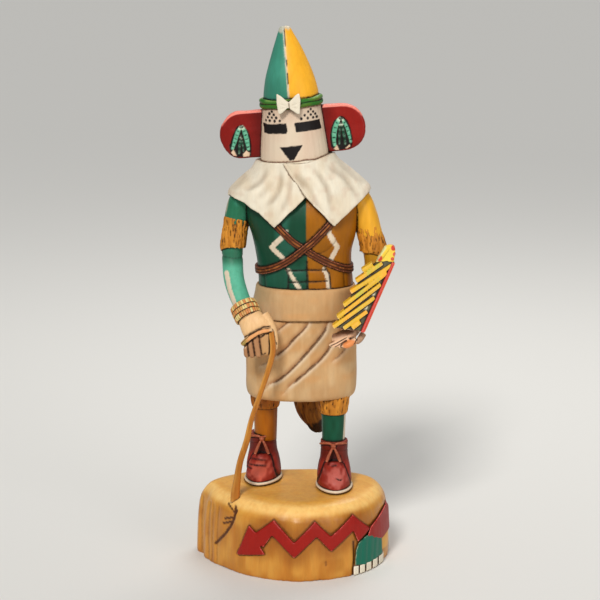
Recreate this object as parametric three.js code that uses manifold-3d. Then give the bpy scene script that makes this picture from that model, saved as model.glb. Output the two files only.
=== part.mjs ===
// A carved and painted wooden dancer with a pointed cap, standing on a root-wood plinth.
// Millimetres, +Z up. The front faces -Y and +X is on the right of someone facing the front.
// "near" names the forms on that person's left, and "far" those on their right.
import * as THREE from 'three';
import { mergeVertices } from 'three/addons/utils/BufferGeometryUtils.js';
import Module from 'manifold-3d';

const wasm = await Module();
wasm.setup();

// Driving dimensions
const gap = 0.3; // left between pieces that touch
const plinthHeight = 42.5;
const reliefHeight = 1.2;
const figureY = 8; // the figure stands behind the plinth's middle
const hemZ = 95;
const beltBottomZ = 142.5;
const beltTopZ = 160;
const strapThickness = 1.3;
const collarThickness = 1;
const neck = { x: -0.7, z: 232, roll: -4.4 }; // the head leans to the near side, in degrees
const capHeight = 73.5;
const bandHeight = 28.4;
const bandThickness = 5.4;
const bowFront = -19.5; // in front of the neck's axis
const bowThickness = 1.8;
const ear = { height: 26.4, reach: 40.8, thickness: 7, middle: 15 };
const whipSize = { width: 3.2, thickness: 2.2, foot: 5.4 };
const bundleThickness = 5;
const slat = { count: 9, pitch: 5.3, rise: 34, height: 0.9 };

const paint = (color, roughness = 0.5) =>
  new THREE.MeshStandardMaterial({ color, roughness, metalness: 0 });
const paints = {
  plinth: paint(0xd8a452),
  figure: paint(0xcbb08a),
  ear: paint(0xb3241f),
  bow: paint(0xe8dfc9),
  whip: paint(0xc98a3c),
  bundle: paint(0xe0b02c),
};

const degrees = Math.PI / 180;
const upright = new THREE.Matrix4();
const headPlace = new THREE.Matrix4()
  .makeRotationY(neck.roll * degrees)
  .setPosition(neck.x, figureY, neck.z);

// A three.js geometry as a solid with shared vertices.
function solid(geometry, place = upright) {
  geometry.applyMatrix4(place);
  geometry.deleteAttribute('normal');
  geometry.deleteAttribute('uv');
  const merged = mergeVertices(geometry);
  return new wasm.Manifold(new wasm.Mesh({
    numProp: 3,
    vertProperties: new Float32Array(merged.attributes.position.array),
    triVerts: new Uint32Array(merged.index.array),
  }));
}

function namedMesh(name, form, material) {
  const { vertProperties, triVerts } = form.getMesh();
  const geometry = new THREE.BufferGeometry();
  geometry.setAttribute('position', new THREE.BufferAttribute(vertProperties, 3));
  geometry.setIndex(new THREE.BufferAttribute(triVerts, 1));
  geometry.computeVertexNormals();
  const mesh = new THREE.Mesh(geometry, material);
  mesh.name = name;
  return mesh;
}

const join = (...forms) => forms.flat().reduce((whole, form) => whole.add(form));

// One section of a carved form. A square of 2 is an ellipse, and more is boxier.
const ring = (x, y, z, halfWidth, halfDepth = halfWidth, square = 2) => ({
  centre: new THREE.Vector3(x, y, z),
  size: new THREE.Vector3(halfWidth, halfDepth, square),
});

// A closed form through its rings, in order. The rings lie level, or square to the line through
// their centres if it is followed. egg narrows the front, most at the first ring, turn points it
// aside (degrees), grow swells it all round, and carve(angle, t) moves the wall outwards.
function loft(rings, options = {}) {
  const { sides = 20, levels = rings.length - 1, follow = false, egg = 0, turn = 0, grow = 0,
    carve = () => 0, place = upright } = options;
  const centres = new THREE.CatmullRomCurve3(rings.map((section) => section.centre));
  const sizes = new THREE.CatmullRomCurve3(rings.map((section) => section.size));
  const geometry = new THREE.CylinderGeometry(1, 1, 1, sides, levels);
  const position = geometry.attributes.position;
  const across = new THREE.Vector3(Math.cos(turn * degrees), Math.sin(turn * degrees), 0);
  const up = new THREE.Vector3(0, 0, 1);
  for (let i = 0; i < position.count; i++) {
    const t = position.getY(i) + 0.5;
    const onWall = Math.hypot(position.getX(i), position.getZ(i)) > 0.5;
    const point = centres.getPoint(t);
    if (onWall) {
      const axis = follow ? centres.getTangent(t) : up;
      const wide = across.clone().addScaledVector(axis, -across.dot(axis)).normalize();
      const deep = axis.clone().cross(wide);
      const angle = Math.atan2(-position.getZ(i), position.getX(i));
      const size = sizes.getPoint(t);
      const bend = (value) => Math.sign(value) * Math.abs(value) ** (2 / size.z);
      const outX = (size.x + grow) * bend(Math.cos(angle)) * (1 + egg * (1 - t) ** 2 * Math.sin(angle));
      const outY = (size.y + grow) * bend(Math.sin(angle));
      point.addScaledVector(wide, outX).addScaledVector(deep, outY);
      const move = carve(angle, t) / Math.hypot(outX, outY);
      point.addScaledVector(wide, outX * move).addScaledVector(deep, outY * move);
    }
    position.setXYZ(i, point.x, point.y, point.z);
  }
  return solid(geometry, place);
}

// An outline drawn as seen from the front, in x and z, made solid from front to back.
function prism(outline, front, back, place = upright) {
  const shape = new THREE.Shape(outline.map(([x, z]) => new THREE.Vector2(x, z)));
  const geometry = new THREE.ExtrudeGeometry(shape, { depth: back - front, bevelEnabled: false });
  geometry.rotateX(Math.PI / 2);
  geometry.translate(0, back, 0);
  return solid(geometry, place);
}

// The outline of a stripe of one width along a line of points, as a path with two sides.
function stripe(points, width) {
  const side = (sign) => points.map(([x, z], i) => {
    const [x0, z0] = points[Math.max(i - 1, 0)];
    const [x1, z1] = points[Math.min(i + 1, points.length - 1)];
    const length = Math.hypot(x1 - x0, z1 - z0);
    const half = (sign * width) / 2;
    return [x - ((z1 - z0) / length) * half, z + ((x1 - x0) / length) * half];
  });
  return [...side(1), ...side(-1).reverse()];
}

// Flutes cut as a wave round the stretch of a form between two of its rings, for fur and hair.
const flutes = (count, depth, first = 0, last = 1) => (angle, t) =>
  (t > first - 0.01 && t < last + 0.01 ? depth * Math.cos(count * angle) : 0);

// ---- Plinth: a slice of root with a soft rim, a lobe behind on the near side and a relief ----
const plinthOutline = new THREE.CatmullRomCurve3([
  [-1, -45], [17, -42], [33, -34], [44, -21], [51, -5], [54, 10], [51, 25], [39, 38],
  [15, 45], [-12, 45], [-33, 38.5], [-48, 29], [-56.5, 17], [-57.3, 8], [-53.5, 2.5],
  [-53, -4], [-44, -18], [-26, -35.5],
].map(([x, y]) => new THREE.Vector3(x, y, 0)), true);
const plinthProfile = [[0, 0.6], [1.2, 0], [30, 1.5], [36.5, 3.5], [40.8, 7.2], [plinthHeight, 12.5]];

function plinthBody(grow = 0) {
  const sides = plinthOutline.points.length * 2;
  const levels = plinthProfile.length - 1;
  const geometry = new THREE.CylinderGeometry(1, 1, 1, sides, levels);
  const position = geometry.attributes.position;
  for (let i = 0; i < position.count; i++) {
    const [height, inset] = plinthProfile[Math.round((position.getY(i) + 0.5) * levels)];
    const point = new THREE.Vector3();
    if (Math.hypot(position.getX(i), position.getZ(i)) > 0.5) {
      const turned = Math.atan2(-position.getZ(i), position.getX(i)) / (2 * Math.PI);
      const along = (Math.round((turned + 1) * sides) % sides) / sides;
      const [dx, dy] = plinthOutline.getTangent(along).toArray();
      point.copy(plinthOutline.getPoint(along));
      point.add(new THREE.Vector3(-dy, dx, 0).multiplyScalar(inset - grow));
    }
    position.setXYZ(i, point.x, point.y, height);
  }
  return solid(geometry);
}

const lightning = [[-21.5, 21.3], [-12.9, 30.3], [-1.1, 18.3], [11, 30.2], [19.6, 20.8], [32, 30.8],
  [38.4, 21.9]];
const arrowHead = [[-26.5, 29.5], [-33.7, 11.1], [-17.4, 14.5], [-20, 18.2], [-19, 23]];
const plume = [[40.6, 21], [42.2, 25], [51.5, 31.5], [53.5, 28], [54, 16], [49.4, 14.5]];
const cloud = [[33.3, 6.4], [33.7, 14.5], [37.5, 20.5], [42.5, 21.6], [47.5, 19.4], [49.4, 13],
  [49.4, 6]];
const rain = { count: 5, left: 32.4, right: 51, top: 5.5, bottom: 0.6, space: 0.7 };

function plinth() {
  const skin = plinthBody(reliefHeight);
  const drops = Array.from({ length: rain.count }, (_, i) => {
    const pitch = (rain.right - rain.left) / rain.count;
    const left = rain.left + i * pitch;
    const right = left + pitch - rain.space;
    return [[left, rain.bottom], [right, rain.bottom], [right, rain.top], [left, rain.top]];
  });
  const figures = [stripe(lightning, 8.6), arrowHead, plume, cloud, ...drops]
    .map((outline) => prism(outline, -60, figureY));
  return plinthBody().add(join(figures).intersect(skin));
}

// ---- Head: mask, band of two strands and cap, in a place of its own that leans with the neck ----
const maskRings = [ring(0, 0, -8, 18.6, 17.4), ring(0, 0, 1, 19.4, 18), ring(0.1, 0, 14, 18.2, 17),
  ring(0.3, 0, bandHeight, 16.7, 15.9)];
const strand = bandThickness / 2;
const bandRings = [[0.1, 17.2], [strand * 0.5, 17.7], [strand, 16.9], [strand * 1.5, 17.5],
  [strand * 2 - 0.1, 16.9], [strand * 2, 15.6]].map(([rise, half]) =>
  ring(0.4, 0, bandHeight + rise, half, half - 0.4));
const capRings = [ring(0.6, 0, 44.8, 13.6, 13.2), ring(0.6, 0, 52, 11.3, 11),
  ring(0.5, 0, 61.5, 7.9, 7.6), ring(0.1, 0, 71, 3.9, 3.8), ring(0, 0, capHeight - 0.6, 3, 2.9),
  ring(0, 0, capHeight, 1.6, 1.6)];
const mask = (grow = 0) => loft(maskRings, { sides: 22, grow, place: headPlace });
const head = () => loft([...maskRings, ...bandRings, ...capRings], { sides: 22, place: headPlace });

function earPlate(side) {
  // A round-ended plate whose straight end meets the mask, with softened edges.
  const half = ear.height / 2;
  const edge = 1.6;
  const shape = new THREE.Shape();
  shape.moveTo(0, edge - half);
  shape.lineTo(ear.reach - half + 1, edge - half);
  shape.absellipse(ear.reach - half + 1, 0, half - 1 - edge, half - edge, -Math.PI / 2, Math.PI / 2);
  shape.lineTo(0, half - edge);
  const geometry = new THREE.ExtrudeGeometry(shape, {
    depth: ear.thickness - 2 * edge, bevelThickness: edge, bevelSize: edge, bevelSegments: 1,
    curveSegments: 10,
  });
  geometry.rotateX(Math.PI / 2);
  geometry.translate(0, ear.thickness / 2 - edge, ear.middle);
  if (side < 0) {
    geometry.rotateZ(Math.PI);
  }
  const leaves = [-7.2, -2.4, 2.4, 7.2].map((lean) => leaf(side * 27.6, lean));
  return join(solid(geometry, headPlace), leaves).subtract(mask(gap));
}

// One feather of the four that fan down an ear from one point, raised on its front.
function leaf(x, lean) {
  const foot = Math.abs(lean) > 5 ? 4.4 : 6;
  const tipX = x + lean * 0.62;
  const half = 1.3;
  const front = -ear.thickness / 2 - 0.7;
  const outline = [[x, 21], [x - half + lean * 0.15, 17], [tipX - half, foot + 2], [tipX, foot],
    [tipX + half, foot + 2], [x + half + lean * 0.15, 17]];
  return prism(outline, front, 0, headPlace);
}

function bow() {
  const knotZ = 31.3;
  const outline = [[-7, 38.4], [-0.7, knotZ + 1.4], [5.8, 38.2], [5.3, 26.5], [-0.7, knotZ - 1.4],
    [-6.6, 26.9]];
  return prism(outline, bowFront, bowFront + bowThickness, headPlace);
}

// ---- Trunk: kilt, belt and chest in one ----
const kiltRings = [ring(3, figureY, hemZ, 27.5, 17.5, 2.3), ring(3, figureY, hemZ + 1.4, 30.2, 20, 2.4),
  ring(3, figureY, hemZ + 6, 31.4, 21, 2.5), ring(3, figureY, 113, 31.6, 21.2, 2.5),
  ring(3.2, figureY, 126, 31, 21.2, 2.4), ring(3.8, figureY, 137, 29.4, 21, 2.4),
  ring(4.1, figureY, beltBottomZ, 28.2, 20.4, 2.3)];
const beltRings = [ring(4.2, figureY, beltBottomZ + 0.1, 29.8, 23, 2.3),
  ring(4.5, figureY, 152, 28.6, 22.4, 2.3), ring(5.4, figureY, beltTopZ - 0.6, 28.3, 21.4, 2.3),
  ring(5.4, figureY, beltTopZ, 27.6, 20.8, 2.3)];
const chestRings = [ring(5.6, figureY, beltTopZ + 0.1, 26.8, 19.5, 2.3),
  ring(4.9, figureY, 170, 26.6, 19.5, 2.3), ring(4.2, figureY, 179, 27.2, 20, 2.3),
  ring(4.3, figureY, 188, 29.2, 21, 2.3), ring(3.5, figureY, 198, 31.5, 21.5, 2.4),
  ring(3, figureY, 207, 32, 19.5, 2.4), ring(1.5, figureY, 215, 25, 15.5, 2.2),
  ring(-0.6, figureY, 228, 11, 11)];
const chest = (grow) => loft(chestRings, { sides: 26, grow });

// The kilt is wrapped: its folds run down from the far hip to the near hem, each cut in as a groove.
const folds = [
  [[5.9, 141], [-1, 133], [-11, 122.4]],
  [[17.4, 141], [9.1, 127.2], [0.4, 117], [-14, 105.6]],
  [[26, 134.3], [19.7, 127.8], [11.5, 117], [-2.9, 105.2]],
];
const foldCut = { width: 1.3, depth: 1 };

function trunk() {
  const whole = loft([...kiltRings, ...beltRings, ...chestRings], { sides: 26 });
  const insideKilt = loft(kiltRings, { sides: 26, grow: -foldCut.depth });
  return folds.reduce((form, line) => form.subtract(
    prism(stripe(line, foldCut.width), -24, figureY).subtract(insideKilt)), whole);
}

const nearStrap = [[-17, 203], [-3.4, 189], [4.3, 183.6], [12.2, 178.4], [21.7, 173.4],
  [36, 168.4]];
const farStrap = [[24, 203], [11.6, 189.9], [4.3, 183.6], [-3.4, 177.4], [-11.8, 172.4],
  [-26, 167.8]];

function straps() {
  const inner = chest(strapThickness);
  const outer = chest(strapThickness * 1.7);
  return [prism(stripe(nearStrap, 4.4), -20, 40).intersect(inner),
    prism(stripe(farStrap, 4.4), -20, 40).intersect(outer)];
}

// ---- Collar: a cloth laid round the neck with two lapels, the far one lying over the near ----
const collarRings = [ring(1.5, figureY, 188, 41, 24, 2.3), ring(1.5, figureY, 204, 41, 24, 2.3),
  ring(1.5, figureY, 213.5, 39.6, 22.5, 2.3), ring(2, figureY, 217, 37.8, 21.5, 2.2),
  ring(2.3, figureY, 222, 32.4, 20.5, 2.1), ring(1.9, figureY, 227, 26.6, 20),
  ring(0.1, figureY, 232, 22.2, 19.5), ring(-0.8, figureY, 238, 20.2, 18.8)];
const nearLapel = [[-24, 230.4], [-6, 231.4], [14, 233], [8, 213], [6, 213.4], [-12.1, 195.9],
  [-20, 203.5], [-28.4, 208.8], [-38.1, 212.4], [-44, 213], [-44, 222]];
const farLapel = [[-6.6, 231.3], [6, 231.8], [21, 234.6], [46, 222], [46, 214.6], [41.2, 214.2],
  [20.9, 197], [6.2, 212.5]];
const backCloth = [[-26, 230.6], [21, 234.6], [46, 222], [46, 214], [38, 210], [22, 203],
  [1.5, 200.5], [-20, 203], [-36, 209.5], [-44, 213], [-44, 222]];

function collar() {
  const cloth = (grow) => loft(collarRings, { sides: 24, grow });
  const under = cloth(0);
  return [prism(nearLapel, -24, figureY).intersect(under),
    prism(farLapel, -24, figureY).intersect(cloth(collarThickness)),
    prism(backCloth, figureY - 0.1, 40).intersect(under)];
}

// ---- Arms: each from its wrist up to its shoulder, through a fur sleeve above the elbow ----
const nearForearm = [ring(-27.8, -16.5, 149, 5.2, 5), ring(-31.8, -9.5, 156, 5.4),
  ring(-34.9, -1.5, 164, 5.7, 6), ring(-35.8, 5, 172.4, 5.9, 6.4)];
const nearSleeve = [ring(-35.8, 6.4, 180.9, 6.1, 6.4), ring(-35.8, 6.5, 181.3, 7.3, 7.9),
  ring(-34.7, 7, 189, 7.4, 8), ring(-33.3, 7.4, 196.7, 7.3, 8.2), ring(-33.1, 7.5, 197.3, 7, 8)];
const nearShoulder = [ring(-30.6, 8, 206, 7.6, 8.6), ring(-27, 8, 213, 7)];
const farForearm = [ring(33, -15.5, 143.5, 5.2, 5), ring(38, -9, 151, 5.4), ring(42.5, -1, 160, 5.8, 6),
  ring(44.6, 5.5, 169.5, 6, 6.5)];
const farSleeve = [ring(43.8, 7.6, 178.9, 6.2, 6.6), ring(43.7, 7.6, 179.3, 7.7, 8.2),
  ring(41.8, 7.8, 187, 7.3, 8), ring(39.6, 8, 194.6, 6.9, 8), ring(39.2, 8, 195.4, 6.9, 7.8)];
const farShoulder = [ring(35.4, 8, 206, 7.7, 8.6), ring(31, 8, 213, 7)];

function arm(forearm, sleeve, shoulder) {
  const rings = [...forearm, ...sleeve, ...shoulder];
  const last = rings.length - 1;
  const carve = flutes(8, 0.3, (forearm.length + 1) / last, (forearm.length + 3) / last);
  return loft(rings, { sides: 16, follow: true, carve });
}

// Three strings of beads round the near wrist.
function beadCuff() {
  const from = new THREE.Vector3(-26.2, -19.3, 145.7);
  const to = new THREE.Vector3(-29.8, -13.8, 152.2);
  const levels = [[0, 7], [0.04, 7.8], [0.3, 7.8], [0.34, 7.1], [0.38, 7.9], [0.63, 7.9],
    [0.67, 7.1], [0.71, 7.9], [1, 7.6]];
  const rings = levels.map(([t, half]) => {
    const centre = from.clone().lerp(to, t);
    return ring(centre.x, centre.y, centre.z, half, half * 0.86);
  });
  return loft(rings, { sides: 14, follow: true });
}

// A finger from its knuckle to its folded joint.
function finger(from, to, half, depth) {
  const rings = [0, 0.12, 0.88, 1].map((t) => {
    const full = t > 0 && t < 1 ? 1 : 0.62;
    const centre = new THREE.Vector3(...to).lerp(new THREE.Vector3(...from), t);
    return ring(centre.x, centre.y, centre.z, half * full, depth * full, 2.6);
  });
  return loft(rings, { sides: 8, follow: true });
}

function nearHand() {
  const palm = loft([ring(-19.5, -22, 132.5, 8.4, 4.6, 2.6), ring(-20.5, -23.3, 138, 8.9, 5, 2.5),
    ring(-23.4, -22, 142.5, 8, 5.2, 2.3), ring(-26.6, -18.5, 147, 6.6, 5)],
  { sides: 12, levels: 5, follow: true });
  const fingers = [[-27.2, 132.6, 2.1], [-23.4, 135.6, 2.3], [-19.2, 138.8, 2.5],
    [-14.6, 141.2, 2.9]].map(([x, top, half], i) =>
    finger([x, -25.4, top], [x + 0.6, -23.6, 125 + i * 0.5], half, 4.2));
  const knuckles = finger([-28.4, -27, 131.9], [-14, -28, 142.6], 1.5, 1.7);
  const thumb = loft([ring(-9.9, -23.5, 131, 1.4), ring(-10.6, -23.3, 134, 2.5, 3),
    ring(-12.4, -22, 141, 2.9, 3.4), ring(-17.5, -20, 148, 3, 3.4)],
  { sides: 8, levels: 4, follow: true });
  return [palm, ...fingers, knuckles, thumb];
}

function farHand() {
  const palm = loft([ring(20.5, -22.5, 134.8, 3.6, 4.4), ring(24, -22.5, 135, 4.6, 5.6),
    ring(30, -20, 138, 4.8, 5.8), ring(34.5, -14, 143.8, 4.6, 5.2)],
  { sides: 12, levels: 4, follow: true });
  const fingers = Array.from({ length: 4 }, (_, i) =>
    finger([34.6 - i * 3.9, -25, 135.6 - i * 0.5], [29.4 - i * 3.7, -26.6, 131.2 - i * 0.2], 2.1, 2.4));
  return [palm, ...fingers];
}

// ---- Legs with boots and knee fur, and the fox pelt behind ----
const nearLeg = { x: -17.7, y: 15, toe: -11, boot: { x: -19.2, y: 14.4 } };
const farLeg = { x: 21.4, y: 1.5, toe: 3, boot: { x: 21.8, y: -1.4 } };

function leg({ x, y, toe, boot }) {
  const sole = plinthHeight + gap;
  const bootRings = [[0, 0, 10.4, 17], [0, 2, 10.4, 17], [0.1, 2.1, 9.6, 16.2], [0.6, 6, 9.9, 15.8],
    [2.4, 10, 9.4, 13.6], [4.4, 14, 8.6, 10.8], [4.6, 18, 7.9, 9], [3.4, 23, 7.8, 8.6],
    [2.6, 26, 7.6, 8]].map(([back, rise, half, long]) =>
    ring(boot.x, boot.y + back, sole + rise, half, long));
  const shin = [ring(x, y, sole + 26.1, 6.5, 6.8), ring(x, y, 86, 7, 7.4)];
  const fur = [ring(x, y, 86.2, 7.4, 7.8), ring(x, y, 87, 8.3, 8.7), ring(x, y, 93, 9.2, 9.6),
    ring(x, y, 101, 9.6, 10)];
  const rings = [...bootRings, ...shin, ...fur];
  const last = rings.length - 1;
  const carve = flutes(8, 0.35, 1 - 2 / last);
  return loft(rings, { sides: 16, egg: 0.16, turn: toe, carve });
}

// The tie at the ankle: two short ends that hang down over the instep.
function bootTie({ boot: { x, y } }) {
  const knot = [x - 0.5, y - 4.4, 65.5];
  return [-1, 1].map((side) => finger(knot, [x - 0.5 + side * 4.4, y - 9, 57.5], 1.2, 1));
}

function pelt() {
  const rings = [ring(12.6, 30, 65.5, 1.6, 1.2), ring(12, 30, 67.5, 4, 2.8),
    ring(8.6, 30.6, 76, 7.6, 4), ring(6.4, 31.5, 88, 8.6, 4.4), ring(5.4, 31.6, 104, 7.4, 4.2),
    ring(5, 31, 128, 5.4, 3.8), ring(5, 30, 146, 4.4, 3.2)];
  return loft(rings, { sides: 14, levels: 7, carve: flutes(7, 0.35) });
}

// ---- Whip: one thin strip from the near fist to the rim of the plinth ----
const whipRoute = [[-13.8, -26.6, 139.5], [-12.8, -28, 129.3], [-15.6, -27.4, 117.6],
  [-21.3, -26.4, 103], [-26.4, -25, 88.2], [-27.6, -23.4, 76.3], [-31.6, -21, 62.8],
  [-33.4, -19.5, 51.7], [-34.4, -18.6, 44.2], [-34.7, -18.4, 38]];

function whip(grow = 0) {
  const last = whipRoute.length - 1;
  const rings = whipRoute.map(([x, y, z], i) => {
    const half = (i === last ? whipSize.foot : whipSize.width + (i > 5 ? 0.4 : 0)) / 2;
    return ring(x, y, z, half, whipSize.thickness / 2, 2.6);
  });
  return loft(rings.reverse(), { sides: 6, levels: 14, follow: true, grow });
}

// ---- Bundle: a slatted tablet that leans back on the far hand ----
const bundleFace = [[19.2, 142.9], [37.9, 140.2], [55.1, 175.9], [50.5, 177.6], [44.4, 176.9],
  [36.6, 172.4], [29.6, 160.8]];
const bundleEdge = [[35.4, 140.6], [37.9, 140.2], [55.1, 175.9], [53, 177.2]];
const bundleEnd = [[44.2, 175], [54, 175], [55.2, 183.4], [53, 185.6], [49, 184.6]];
const bundleLean = new THREE.Matrix4().makeShear(0, 0, 0, 0, 0, 0.47);
bundleLean.setPosition(0, -30 - 0.47 * 142, 0);

function bundle() {
  const board = prism(bundleFace, 0, bundleThickness, bundleLean);
  const face = prism(bundleFace, -slat.height, bundleThickness, bundleLean);
  const rise = slat.rise * degrees;
  const slats = Array.from({ length: slat.count }, (_, i) => {
    const z = 134 + i * slat.pitch;
    const from = [16, z - 6 * Math.tan(rise)];
    const to = [58, z + 36 * Math.tan(rise)];
    return prism(stripe([from, to], slat.pitch * 0.5), -slat.height, 1, bundleLean);
  });
  const edge = prism(bundleEdge, -slat.height * 1.4, 1, bundleLean);
  const end = prism(bundleEnd, 0.4, bundleThickness - 0.4, bundleLean);
  return join(board, join(slats).intersect(face), edge, end);
}

function figure() {
  const body = join(trunk(), straps(), collar(), head(), arm(nearForearm, nearSleeve, nearShoulder),
    arm(farForearm, farSleeve, farShoulder), beadCuff(), nearHand(), farHand(),
    [nearLeg, farLeg].flatMap((limb) => [leg(limb), ...bootTie(limb)]), pelt());
  return body.subtract(whip(gap)).subtract(bundleRoom());
}

// The space that the bundle needs in the far hand, a gap wider than it all round.
function bundleRoom() {
  const grown = bundleFace.map(([x, z]) => {
    const fromX = x - 37;
    const fromZ = z - 159;
    const far = 1 + (gap * 1.5) / Math.hypot(fromX, fromZ);
    return [37 + fromX * far, 159 + fromZ * far];
  });
  return prism(grown, -slat.height * 1.4 - gap, bundleThickness + gap * 1.5, bundleLean);
}

const doll = new THREE.Group();
doll.add(
  namedMesh('plinth', plinth(), paints.plinth),
  namedMesh('figure', figure(), paints.figure),
  namedMesh('ear_near', earPlate(-1), paints.ear),
  namedMesh('ear_far', earPlate(1), paints.ear),
  namedMesh('bow', bow(), paints.bow),
  namedMesh('whip', whip().subtract(plinthBody(gap)), paints.whip),
  namedMesh('bundle', bundle(), paints.bundle),
);

export default doll;
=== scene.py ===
import math

import bmesh
import bpy
import numpy as np
from mathutils import Matrix, Vector, bvhtree


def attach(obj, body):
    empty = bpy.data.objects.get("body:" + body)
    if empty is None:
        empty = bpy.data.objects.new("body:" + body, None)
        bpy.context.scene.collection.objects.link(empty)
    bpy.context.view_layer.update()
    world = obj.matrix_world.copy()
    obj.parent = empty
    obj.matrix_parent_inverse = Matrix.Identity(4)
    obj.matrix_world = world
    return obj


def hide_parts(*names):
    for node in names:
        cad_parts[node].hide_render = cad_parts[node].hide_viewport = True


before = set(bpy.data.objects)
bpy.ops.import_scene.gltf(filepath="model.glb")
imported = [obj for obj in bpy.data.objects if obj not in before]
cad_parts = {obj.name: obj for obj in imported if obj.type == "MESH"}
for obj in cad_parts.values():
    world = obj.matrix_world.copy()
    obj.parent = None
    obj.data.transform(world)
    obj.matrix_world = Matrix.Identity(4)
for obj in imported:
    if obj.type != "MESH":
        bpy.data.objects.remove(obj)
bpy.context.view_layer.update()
print("frame loaded")

# Sizes are in millimetres until a piece is finished. The near side is at -X and the far one at +X.
mm = 0.001
neck = {"place": (-0.7, 8, 232), "roll": -4.4}
headPlace = Matrix.Translation(neck["place"]) @ Matrix.Rotation(math.radians(neck["roll"]), 4, "Y")
random = np.random.default_rng(7)
# every finished piece by its name, with its slot and the node that it stands for
made = {}


# Colours

def paint(red, green, blue):
    values = np.array([red, green, blue]) / 255
    return np.where(values < 0.04045, values / 12.92, ((values + 0.055) / 1.055) ** 2.4)


colours = {
    "teal": paint(66, 146, 122), "deepTeal": paint(14, 66, 44),
    "yellow": paint(247, 178, 42), "ochre": paint(232, 168, 44), "deepOchre": paint(166, 100, 5),
    "cream": paint(222, 204, 178), "white": paint(232, 221, 198), "tan": paint(200, 158, 108),
    "red": paint(150, 24, 14), "black": paint(22, 16, 15),
    "brown": paint(122, 62, 28), "fur": paint(206, 134, 40), "furDark": paint(70, 34, 6),
    "skin": paint(236, 192, 138), "boot": paint(142, 40, 26), "bootDark": paint(92, 22, 10),
    "honey": paint(226, 168, 74), "amber": paint(178, 106, 26), "green": paint(48, 112, 36),
    "olive": paint(92, 114, 24), "leaf": paint(98, 178, 142), "orange": paint(224, 130, 30),
    "pink": paint(208, 140, 116),
}


# For each kind of piece, the size of its skin's cells and how often that skin is smoothed

skins = {
    "root": (0.92, 3), "relief": (0.43, 3), "lightning": (0.43, 2), "mask": (0.45, 2),
    "cap": (0.61, 2), "brow": (0.39, 2), "ear": (0.43, 3), "bow": (0.33, 2), "chest": (0.7, 2),
    "belt": (0.87, 2), "kilt": (0.77, 2), "strap": (0.43, 3), "collar": (0.7, 3), "arm": (0.67, 2),
    "sleeve": (0.53, 1), "cuff": (0.37, 1), "handNear": (0.37, 2), "handFar": (0.35, 2),
    "shin": (0.72, 2), "kneeFur": (0.53, 1), "sole": (0.61, 1), "boot": (0.47, 2), "tie": (0.31, 1),
    "pelt": (0.64, 1), "whip": (0.37, 2), "board": (0.51, 1), "bars": (0.36, 1), "strip": (0.41, 1),
    "endCap": (0.37, 2),
}


# Modelling helpers

def emptyMesh(name):
    bpy.ops.object.select_all(action="DESELECT")
    bpy.ops.object.add(type="MESH", location=(0, 0, 0))
    piece = bpy.context.object
    piece.name = piece.data.name = name
    return piece


def selectOnly(piece):
    bpy.ops.object.select_all(action="DESELECT")
    bpy.context.view_layer.objects.active = piece
    piece.select_set(True)


def pick(piece, test):
    # selects the vertices that pass the test, in edit mode
    shape = bmesh.from_edit_mesh(piece.data)
    for index, vert in enumerate(shape.verts):
        vert.select = bool(test(index, vert))
    shape.select_flush(True)
    shape.select_flush(False)
    bmesh.update_edit_mesh(piece.data)


def smoothSteps(rows, steps):
    # rows of numbers with steps between each two, on a smooth curve through all of them
    rows = np.array(rows, float)
    ends = np.vstack([2 * rows[0] - rows[1], rows, 2 * rows[-1] - rows[-2]])
    out = []
    for i in range(len(rows) - 1):
        a, b, c, d = ends[i:i + 4]
        for t in np.arange(steps) / steps:
            out.append(0.5 * (2 * b + (c - a) * t + (2 * a - 5 * b + 4 * c - d) * t ** 2
                              + (3 * b - a - 3 * c + d) * t ** 3))
    return np.array(out + [rows[-1]])


def loft(name, rings, sides=24, steps=3, follow=False, turn=0, egg=0):
    # a closed form through rings of (x, y, z, half width, half depth, squareness)
    full = [list(ring) + [ring[3], 2][len(ring) - 4:] for ring in rings]
    fine = smoothSteps(full, steps)
    centres = fine[:, :3]
    piece = emptyMesh(name)
    bpy.ops.object.mode_set(mode="EDIT")
    for i, (x, y, z, wide, deep, square) in enumerate(fine):
        bpy.ops.mesh.primitive_circle_add(vertices=sides, radius=1, location=(0, 0, 0))
        t = i / (len(fine) - 1)
        shape = bmesh.from_edit_mesh(piece.data)
        shape.verts.ensure_lookup_table()
        for vert in shape.verts[i * sides:]:
            for axis in (0, 1):
                vert.co[axis] = math.copysign(abs(vert.co[axis]) ** (2 / square), vert.co[axis])
            vert.co.x *= 1 + egg * (1 - t) ** 2 * vert.co.y
        bpy.ops.transform.resize(value=(wide, deep, 1), center_override=(0, 0, 0))
        if turn:
            bpy.ops.transform.rotate(value=-math.radians(turn), orient_axis="Z",
                                     center_override=(0, 0, 0))
        if follow:
            along = Vector(centres[min(i + 1, len(fine) - 1)] - centres[max(i - 1, 0)]).normalized()
            bpy.ops.transform.rotate(value=math.asin(along.y), orient_axis="X",
                                     center_override=(0, 0, 0))
            bpy.ops.transform.rotate(value=-math.atan2(along.x, along.z), orient_axis="Y",
                                     center_override=(0, 0, 0))
        bpy.ops.transform.translate(value=(x, y, z))
    bridgeRings(piece, len(fine), sides)
    return piece


def bridgeRings(piece, count, sides):
    # joins rings of as many points each, in order, and closes both ends
    for i in range(count - 1):
        pick(piece, lambda n, vert: i * sides <= n < (i + 2) * sides)
        bpy.ops.mesh.bridge_edge_loops()
    for end in (0, count - 1):
        pick(piece, lambda n, vert: end * sides <= n < (end + 1) * sides)
        bpy.ops.mesh.edge_face_add()
    closeUp()


def closeUp():
    # merges doubles and turns the faces outwards, in edit mode, and leaves it
    bpy.ops.mesh.select_all(action="SELECT")
    bpy.ops.mesh.remove_doubles(threshold=0.001)
    bpy.ops.mesh.normals_make_consistent(inside=False)
    bpy.ops.object.mode_set(mode="OBJECT")


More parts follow.
